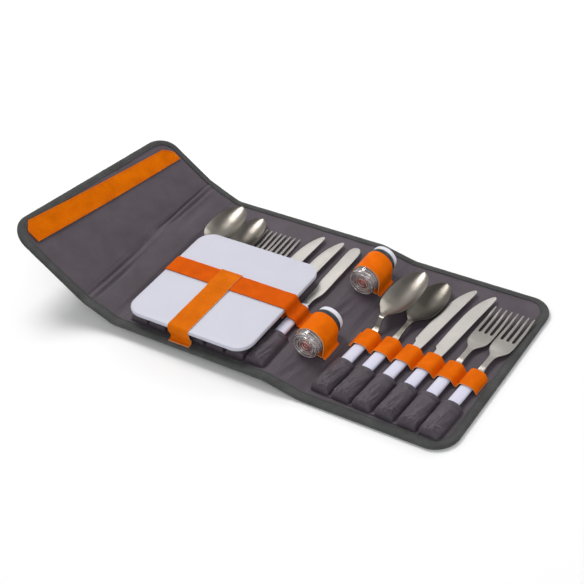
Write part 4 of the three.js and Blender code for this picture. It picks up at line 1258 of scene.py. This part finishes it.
def fork(name, place, body, node, lean, lift, curl):
    xs = [-10.4 + 20.8 * i / 3 for i in range(4)]
    left = [(-2.3, 93.5), (-2.3, 115.6), (-4.1, 116.2), (-4.0, 118), (-3.2, 126), (-3.2, 136), (-3.7, 141.5), (-5.4, 146), (-9.4, 151.4), (-11.4, 156.5), (-12.1, 163), (-12.15, 172)]
    path = list(left)
    for i, x in enumerate(xs):
        if i:
            path.append((x - 1.75, 174.5))
        path += [(x - 1.72, 180), (x - 1.6, 196), (x - 1.35, 208), (x - 0.95, 212.6), (x - 0.5, 214.3), (x + 0.5, 214.3), (x + 0.95, 212.6), (x + 1.35, 208), (x + 1.6, 196), (x + 1.72, 180)]
        if i < 3:
            path.append((x + 1.75, 174.5))
            cx = x + 20.8 / 6
            for a in np.linspace(180, 360, 9)[1:-1]:
                path.append((cx + 1.72 * math.cos(math.radians(a)), 174.0 + 1.9 * math.sin(math.radians(a))))
    path += [(-x, y) for x, y in left[::-1]]
    loop = round_loop(path, 0.9, 0.75)
    z0 = 4.7
    Yk = [93.5, 117, 126, 140, 146, 152, 158, 166, 174, 180, 196, 208, 214.5]
    Zk = [z0, z0, z0 + 0.6, z0 + 0.4, z0 - 0.6 + lift / 2, z0 - 1.7 + lift, z0 - 2.6 + lift, z0 - 3.05 + lift, z0 - 3.15 + lift, z0 - 3.1 + lift, z0 - 3.1 + 0.6 * curl + lift, z0 - 3.1 + 1.9 * curl + lift, z0 - 3.1 + 2.8 * curl + lift]

    def zc(x, y):
        return pchip(Yk, Zk, y) + 0.003 * np.clip(x, -12, 12) ** 2 * sstep(146, 160, y) * (1 - sstep(176, 200, y))

    def k(x, y):
        return 1 + 0.3 * sstep(118, 124, y) * (1 - sstep(142, 150, y)) - 0.35 * sstep(204, 214, y)

    def pl(x, y, z):
        fx = np.interp(y, [169, 180, 196, 208, 213.5], [1, 0.99, 0.97, 0.95, 0.94])
        return place(x * fx + lean * np.maximum(0, y - 115) / 100, E(0) + y, z)
    ob = plate(name, loop, zc, 1.5, 0.45, pl, STEEL_FORK, 1.1, k)
    return on(ob, body, [node])


KNIFE = [(-2.3, 93.5), (2.3, 93.5), (2.3, 115.8), (5.6, 116.2), (6.2, 122), (7.0, 140), (7.6, 165), (8.2, 190), (8.9, 210), (9.2, 220), (8.9, 224.5), (7.6, 227), (5.6, 227), (2.6, 224), (-0.8, 218.5), (-4.2, 210), (-6.8, 199), (-8.1, 185),
         (-8.5, 165), (-8.4, 140), (-8.0, 129.2), (-7.3, 127.2), (-5.4, 126.3), (-4.6, 122), (-4.6, 116.2), (-2.3, 115.8)]
SPREAD = [(-2.3, 93.5), (2.3, 93.5), (2.3, 115.8), (4.2, 116.2), (4.0, 124), (5.4, 130), (8.0, 137), (8.7, 143), (8.7, 200), (8.6, 213), (7.4, 220), (4.6, 224.6), (0.6, 226), (-3.6, 224.4), (-6.0, 220), (-6.6, 213),
          (-6.6, 161), (-6.3, 154), (-4.7, 149.5), (-4.8, 138), (-4.4, 128), (-4.0, 124), (-4.2, 116.2), (-2.3, 115.8)]


def blade(name, outline, place, body, node, edge_side=True):
    r = [0.1, 0.1, 0.3, 0.3] + [6.0] * (len(outline) - 6) + [0.3, 0.3]
    r = [min(q, 6.0) for q in r]
    loop = round_loop(outline, r, 1.0)
    lp = np.array([p for p in outline if p[0] < 1 and p[1] > 129])
    lp = lp[np.argsort(lp[:, 1])]

    def k(x, y):
        xe = np.interp(y, lp[:, 1], lp[:, 0])
        d = np.clip((x - xe) / 5.5, 0, 1)
        g = 0.30 + 0.70 * d ** 0.8
        return np.where(y > 128, g * sstep(128, 133, y) + (1 - sstep(128, 133, y)), 1.0)
    ob = plate(name, loop, lambda x, y: 4.7 + 0 * x, 1.5, 0.28, lambda x, y, z: place(x, E(0) + y, z), STEEL_BLADE, 1.5, k)
    return on(ob, body, [node])


def piece(side, kind, x, tilt, base, **kw):
    pl = in_piece(x, tilt, base)
    stem = f"{side}_{kind}" if side else kind
    handle(f"{stem}_grip" if side else "spreader_handle_grip", pl, stem, f"{stem}_handle")
    name, node = f"{stem}_steel", f"{stem}_head"
    if kind.startswith("spoon"):
        spoon(name, kw["rim"], pl, stem, node, kw["roll"], kw["yaw"], kw["ext"], kw["pitch"], kw["mat"], kw["slim"])
    elif kind.startswith("fork"):
        fork(name, pl, stem, node, kw["lean"], kw["lift"], kw["curl"])
    elif kind.startswith("knife"):
        blade(name, KNIFE, pl, stem, node)
    else:
        blade(name, SPREAD, pl, stem, node)


KINDS_R = ["spoon_1", "spoon_2", "knife_1", "knife_2", "fork_1", "fork_2"]
KINDS_M = ["spoon_1", "spoon_2", "fork_1", "fork_2", "knife_1", "knife_2"]
for i, kind in enumerate(KINDS_R):
    piece("right", kind, RIGHT_X[i], TILT_R[i], on_set, rim={"spoon_1": 15.5, "spoon_2": 8.4}.get(kind), lean=0.0, lift=0.7, curl=1.0, roll={"spoon_1": -2.5}.get(kind, -3.0), yaw={"spoon_1": 1.5}.get(kind, 1.6), slim={"spoon_1": 0.91}.get(kind, 0.92), ext={"spoon_1": -4.0}.get(kind, 0.0), pitch={"spoon_1": 3.0, "spoon_2": 1.5}.get(kind, 0.0), mat={"spoon_2": STEEL_DARK}.get(kind))
for i, kind in enumerate(KINDS_M):
    piece("middle", kind, MID_X[i], TILT_M[i], on_middle, rim={"spoon_1": 15.0, "spoon_2": 8.3}.get(kind), lean=-3.0, lift=0.15, curl=0.1, roll={"spoon_1": -3.5}.get(kind, -2.0), yaw={"spoon_1": 1.6}.get(kind, 1.2), ext=5.0, pitch={"spoon_1": 2.2, "spoon_2": 0.4}.get(kind, 0.0), mat=None, slim={"spoon_1": 0.95}.get(kind, 0.88))
piece("", "spreader", MID_X[6], 0.0, on_middle)


# =====================================================================================
# cutting board
# =====================================================================================
r = 19.0
bx0, bx1, by0, by1 = CX0, CX1, E(7.5), E(162.5)
loop = []
for cx, cy, a0 in ((bx1 - r, by1 - r, 0), (bx0 + r, by1 - r, 90), (bx0 + r, by0 + r, 180), (bx1 - r, by0 + r, 270)):
    for i in range(19):
        a = math.radians(a0 + 5 * i)
        loop.append((cx + r * math.cos(a), cy + r * math.sin(a)))
loop = dense_loop(loop, 1.6)
board = plate("cutting_board_plate", loop, lambda x, y: 17.8 + 0 * x, 5.0, 1.5, on_middle, BOARD, 6.0)
on(board, "board", ["cutting_board"])


# =====================================================================================
# shakers
# =====================================================================================
R, L = 15.6, 45.0
ZC = R + 1.2
for tag, y0, ly in (("near", 50.0, 60.0), ("far", 165.0, 175.0)):
    def ax(x, y, z, y0=y0):
        return on_spine(17.7 + x, E(y0) + y, ZC + z)
    jar = [(0, 2.0), (3.0, 2.0), (3.5, 0.7), (4.0, 0.4), (5.0, 0.4), (5.5, 0.7), (6.0, 2.2), (8.2, 2.2), (8.8, 0.6), (9.4, 0.1), (10.6, 0.0), (11.2, 0.5), (11.6, 1.5), (12.6, 1.5), (13.0, 0.5), (13.6, 0.1), (14.6, 0.4), (15.4, 1.6), (15.6, 2.8), (15.6, 4.4), (15.2, 4.9), (15.6, 5.4), (15.6, L - 5.4), (15.2, L - 4.9), (R - 2.2, L - 4.6), (R - 2.2, L - 0.3), (R - 2.5, L), (R - 3.3, L),
           (R - 3.6, L - 0.4), (R - 3.2, L - 6), (R - 2.4, L - 9), (R - 2.2, 12), (R - 2.6, 8.6), (R - 4.2, 6.4), (R - 7, 5.3), (5.4, 5.0), (4.4, 4.0), (2.4, 3.8), (0, 4.2)]
    on(lathe(f"{tag}_jar_clear", jar, ax, CLEAR, 72), f"{tag}_shaker", [f"{tag}_shaker_jar"])
    # collar with a recessed sifter plate and its holes
    z0, z1 = L + 0.3, L - 4.3 + 5.5
    col = [(0, z0), (R - 3.6, z0), (R - 1.9, z0), (R - 1.9, L - 4.3), (R - 0.3, L - 4.3), (R, L - 4.0), (R, L - 2.4), (R - 0.35, L - 2.1), (R - 0.35, L - 1.7), (R, L - 1.4), (R, z1 - 0.4), (R - 0.3, z1), (R - 3.2, z1), (0, z1)]
    ob = lathe(f"{tag}_collar_ring", col, ax, COLLAR, 72)
    on(ob, f"{tag}_shaker", [f"{tag}_shaker_collar"])
    V, F = [], []
    for q, (hx, hz) in enumerate([(0, 0)] + [(4.6 * math.cos(a), 4.6 * math.sin(a)) for a in np.linspace(0, 2 * math.pi, 7)[:-1]]):
        o = len(V)
        for rr, yy in ((0.75, z1 - 0.02), (0.95, z1 + 0.12), (1.25, z1 + 0.12), (1.45, z1 - 0.02)):
            for j in range(14):
                g = 2 * math.pi * j / 14
                V.append((hx + rr * math.cos(g), yy, hz + rr * math.sin(g)))
        for i in range(3):
            for j in range(14):
                F.append((o + i * 14 + j, o + i * 14 + (j + 1) % 14, o + (i + 1) * 14 + (j + 1) % 14, o + (i + 1) * 14 + j))
    V = np.array(V)
    rims = fix_normals(make(f"{tag}_sifter_rims", ax(V[:, 0], V[:, 1], V[:, 2]), F, COLLAR, None, 40))
    on(rims, f"{tag}_shaker")
    yc = z1 + 0.3
    c = [(0, yc), (R - 1.2, yc), (R - 0.6, yc + 0.5), (R - 0.6, yc + 4.6), (R - 0.9, yc + 5.6), (R - 1.7, yc + 6.3), (R - 2.6, yc + 6.5), (R - 4.0, yc + 6.4), (R - 4.6, yc + 6.05), (R - 5.2, yc + 6.0), (0, yc + 6.0)]
    on(lathe(f"{tag}_cap_lid", c, ax, CAPM, 72), f"{tag}_cap", [f"{tag}_shaker_cap"])
    # elastic loop
    ro = R + 1.34
    path = [(16.2, 1.12 - ZC), (-15.6, 1.12 - ZC), (-16.3, 1.6 - ZC)]
    for a in np.linspace(196, -2, 60):
        path.append((ro * math.cos(math.radians(a)), ro * math.sin(math.radians(a))))
    path += [(17.2, -5.0), (17.4, -11.0), (18.0, 2.2 - ZC), (18.8, 1.5 - ZC), (21.0, 1.3 - ZC)]
    line = resample(np.array(path), 0.9)[0]
    seg = np.r_[0, np.cumsum(np.linalg.norm(np.diff(line, axis=0), axis=1))]
    v = np.linspace(-14.4, 14.4, 17)
    A, B = line[:, 0][:, None] + 0 * v[None], line[:, 1][:, None] + 0 * v[None]
    grow = 1 + 0.010 * noise(seg[:, None] / 12 + 0 * v[None], v[None] / 8 + 0 * A, 121)
    YV = v[None] + 0 * A
    P = on_spine(17.7 + A * grow, E(ly + 15) + YV * (1 + 0.012 * noise(seg[:, None] / 10 + 0 * v[None], 0.5, 127)), np.maximum(ZC + B * np.where(B > -10, grow, 1), 0.6))
    uv = np.stack([seg[:, None] + 0 * v[None], YV], -1) / 1000
    lo = sheet_from(f"{tag}_jar_loop", P, 0.9, LOOPS, uv)
    on(lo, "right_spine", [f"{tag}_shaker_loop"])


# =====================================================================================
# padded back under the middle panel
# =====================================================================================
def padded_back():
    hw, hd, rr = 83.0, 98.0, 16.0
    lo, hi = 0.25, 10.55
    n = 60
    xs = np.linspace(-1, 1, n)
    # crowned closed form: rim drawn in between its corners, flat where it rests on the floor
    def outline(t):
        out = []
        for cx, cy, a0 in ((hw - rr, hd - rr, 0), (-hw + rr, hd - rr, 90), (-hw + rr, -hd + rr, 180), (hw - rr, -hd + rr, 270)):
            for i in range(9):
                a = math.radians(a0 + 90 * i / 8)
                out.append((cx + rr * math.cos(a), cy + rr * math.sin(a)))
        return np.array(out)
    P = dense_loop(outline(0), 5.0)
    V, F = [], []
    m = len(P)
    levels = [(-4.0, lo + 1.2), (-1.2, lo + 1.9), (0.0, lo + 4.6), (-1.0, hi - 2.2), (-4.0, hi - 1.2)]
    for d, z in levels:
        q = inset_loop(P, -d)
        V += np.c_[q, np.full(m, z)].tolist()
    for i in range(len(levels) - 1):
        for j in range(m):
            F.append((i * m + j, i * m + (j + 1) % m, (i + 1) * m + (j + 1) % m, (i + 1) * m + j))
    F.append(tuple(reversed(range(m))))
    F.append(tuple((len(levels) - 1) * m + j for j in range(m)))
    ob = fix_normals(make("padded_back_cushion", V, F, PADDING, None, 180))
    return ob


pad = padded_back()
bpy.context.view_layer.objects.active = pad
rm = pad.modifiers.new("remesh", "REMESH")
rm.mode = "VOXEL"
rm.voxel_size = 0.005
dg = bpy.context.evaluated_depsgraph_get()
me = bpy.data.meshes.new_from_object(pad.evaluated_get(dg))
pad.modifiers.clear()
pad.data = me
rest = np.empty(len(me.vertices) * 3)
me.vertices.foreach_get("co", rest)
rest = rest.reshape(-1, 3)
cl = pad.modifiers.new("cloth", "CLOTH")
cl.settings.use_pressure = True
cl.settings.uniform_pressure_force = 4.0
cl.settings.effector_weights.gravity = 0.0
cl.point_cache.frame_start, cl.point_cache.frame_end = 1, 20
for fr in range(1, 21):
    bpy.context.scene.frame_set(fr)
dg = bpy.context.evaluated_depsgraph_get()
me2 = bpy.data.meshes.new_from_object(pad.evaluated_get(dg))
pad.modifiers.clear()
now = np.empty(len(me2.vertices) * 3)
me2.vertices.foreach_get("co", now)
now = now.reshape(-1, 3)
mv = now - rest if len(now) == len(rest) else 0 * rest
ln = np.linalg.norm(mv, axis=1, keepdims=True)
mv *= np.minimum(1, 0.0022 / np.maximum(ln, 1e-9))
rest = rest + mv
bpy.context.scene.frame_set(1)
me.vertices.foreach_set("co", rest.astype(np.float32).ravel())
sub = pad.modifiers.new("sub", "SUBSURF")
sub.levels = sub.render_levels = 1
dg = bpy.context.evaluated_depsgraph_get()
me3 = bpy.data.meshes.new_from_object(pad.evaluated_get(dg))
pad.modifiers.clear()
pad.data = me3
co = np.empty(len(me3.vertices) * 3)
me3.vertices.foreach_get("co", co)
co = co.reshape(-1, 3) * 1000
# quilting: sewn channels press both faces in; the floor and the cover flatten the crowns
ch = np.zeros(len(co))
for xq in (-55.3, -27.7, 0.0, 27.7, 55.3):
    ch = np.maximum(ch, np.exp(-((co[:, 0] - xq) / 2.4) ** 2) * (np.abs(co[:, 1]) < 88))
for yq in (-65.3, -32.7, 0.0, 32.7, 65.3):
    ch = np.maximum(ch, np.exp(-((co[:, 1] - yq) / 2.4) ** 2) * (np.abs(co[:, 0]) < 74))
mid = 5.4
co[:, 2] = mid + (co[:, 2] - mid) * (1 - 0.5 * ch)
co[:, 2] = np.where(co[:, 2] > 10.5, 10.5, co[:, 2])
co[:, 2] = np.where(co[:, 2] < 0.05, 0.05, co[:, 2])
me3.vertices.foreach_set("co", (co / 1000).astype(np.float32).ravel())
me3.materials.clear()
me3.materials.append(PADDING)
uvl = me3.uv_layers.get("fab") or me3.uv_layers.new(name="fab")
idx = np.empty(len(me3.loops), np.int64)
me3.loops.foreach_get("vertex_index", idx)
uvl.data.foreach_set("uv", (co[idx][:, :2] / 1000).astype(np.float32).ravel())
me3.polygons.foreach_set("use_smooth", np.ones(len(me3.polygons), bool))
on(pad, "middle_panel", ["middle_back_padding"])
paths = []
dn = np.array([0, 0, -1.0])
for xq in (-55.3, -27.7, 0.0, 27.7, 55.3):
    y = np.linspace(-86, 86, 60)
    q = np.stack([xq + 0 * y, y, 2.9 + 0 * y], 1)
    paths.append((q, np.broadcast_to(dn, q.shape)))
for yq in (-65.3, -32.7, 0.0, 32.7, 65.3):
    x = np.linspace(-72, 72, 60)
    q = np.stack([x, yq + 0 * x, 2.9 + 0 * x], 1)
    paths.append((q, np.broadcast_to(dn, q.shape)))
on(stitches("quilting_thread", paths, THREAD_DARK, pitch=4.0, length=2.8, r=0.25, lift=0.1), "middle_panel")


# =====================================================================================
# carried-over CAD pieces: the stiffening sheets inside the sleeves
# =====================================================================================
Ss, Ys = np.meshgrid(np.linspace(sF + 10, sD - 2.3, 24), np.linspace(-115, 115, 60), indexing="ij")
fs = slab("flap_board", W(Ss, Ys, -0.95), W(Ss, Ys, -2.55), STIFF, np.stack([Ss, Ys], -1) / 1000)
on(fs, "flap", ["flap_stiffener"])
for name, ob in frame["nodes"].items():
    if name.endswith("_stiffener") and name != "flap_stiffener":
        ob.data.materials.clear()
        ob.data.materials.append(STIFF)


# =====================================================================================
# floor, light and camera
# =====================================================================================
def add_floor():
    n = 2
    me = bpy.data.meshes.new("floor")
    a = 6.0
    me.from_pydata([(-a, -a, -0.0004), (a, -a, -0.0004), (a, a, -0.0004), (-a, a, -0.0004)], [], [(0, 1, 2, 3)])
    ob = bpy.data.objects.new("floor", me)
    bpy.context.scene.collection.objects.link(ob)
    M = Mat("floor_pale")
    nz = M.noise(M.coords(), 3, 2, 0.5)
    M.set(Base_Color=M.ramp(nz, [(0.3, (0.90, 0.90, 0.90)), (0.7, (0.92, 0.92, 0.92))]), Roughness=0.9, Specular_IOR_Level=0.1)
    me.materials.append(M.m)


add_floor()


def area_light(name, loc, target, size, energy, color=(1, 1, 1)):
    li = bpy.data.lights.new(name, "AREA")
    li.shape = "RECTANGLE"
    li.size, li.size_y = size
    li.energy = energy
    li.color = color
    ob = bpy.data.objects.new(name, li)
    ob.location = loc
    d = Vector(target) - Vector(loc)
    ob.rotation_euler = d.to_track_quat("-Z", "Y").to_euler()
    bpy.context.scene.collection.objects.link(ob)
    return ob


area_light("key", (-0.7, 0.35, 1.6), (0.05, 0, 0), (0.8, 0.8), 20, (1, 0.99, 0.98))
area_light("fill", (1.2, -1.2, 1.3), (0.05, 0, 0), (1.2, 0.9), 9, (0.98, 0.99, 1))
area_light("back", (0.4, 1.7, 1.0), (0.05, 0, 0), (1.4, 0.6), 7)

world = bpy.data.worlds.new("studio")
bpy.context.scene.world = world
world.use_nodes = True
bg = world.node_tree.nodes["Background"]
wt = world.node_tree
gen = wt.nodes.new("ShaderNodeTexCoord")
sep = wt.nodes.new("ShaderNodeSeparateXYZ")
wr = wt.nodes.new("ShaderNodeValToRGB")
wt.links.new(gen.outputs["Generated"], sep.inputs[0])
wt.links.new(sep.outputs["Z"], wr.inputs["Fac"])
el = wr.color_ramp.elements
el[0].position, el[0].color = 0.0, (0.95, 0.95, 0.96, 1)
el[1].position, el[1].color = 1.0, (0.30, 0.30, 0.31, 1)
for pos, c in ((0.30, 1.0), (0.62, 0.95), (0.80, 0.45)):
    e = el.new(pos)
    e.color = (c, c, c * 1.01, 1)
wt.links.new(wr.outputs["Color"], bg.inputs["Color"])
bg.inputs["Strength"].default_value = 0.72

cam = bpy.data.cameras.new("camera")
cam.sensor_width = 36.0
cam.lens = 86.11
cam.clip_start = 0.05
co = bpy.data.objects.new("camera", cam)
Rw = [[0.8339319704111505, 0.5418453286651908, -0.10469531283628514],
      [0.2773331013268699, -0.5754861092525936, -0.7693517329321694],
      [-0.4771203408309022, 0.6125515307800834, -0.6301879104714563]]
X, Yd, Zf = (Vector(v) for v in Rw)
rot = Matrix((X, -Yd, -Zf)).transposed().to_4x4()
co.matrix_world = Matrix.Translation((0.7885, -0.9399, 0.98855)) @ rot
bpy.context.scene.collection.objects.link(co)
bpy.context.scene.camera = co
bpy.context.scene.view_settings.view_transform = "Standard"
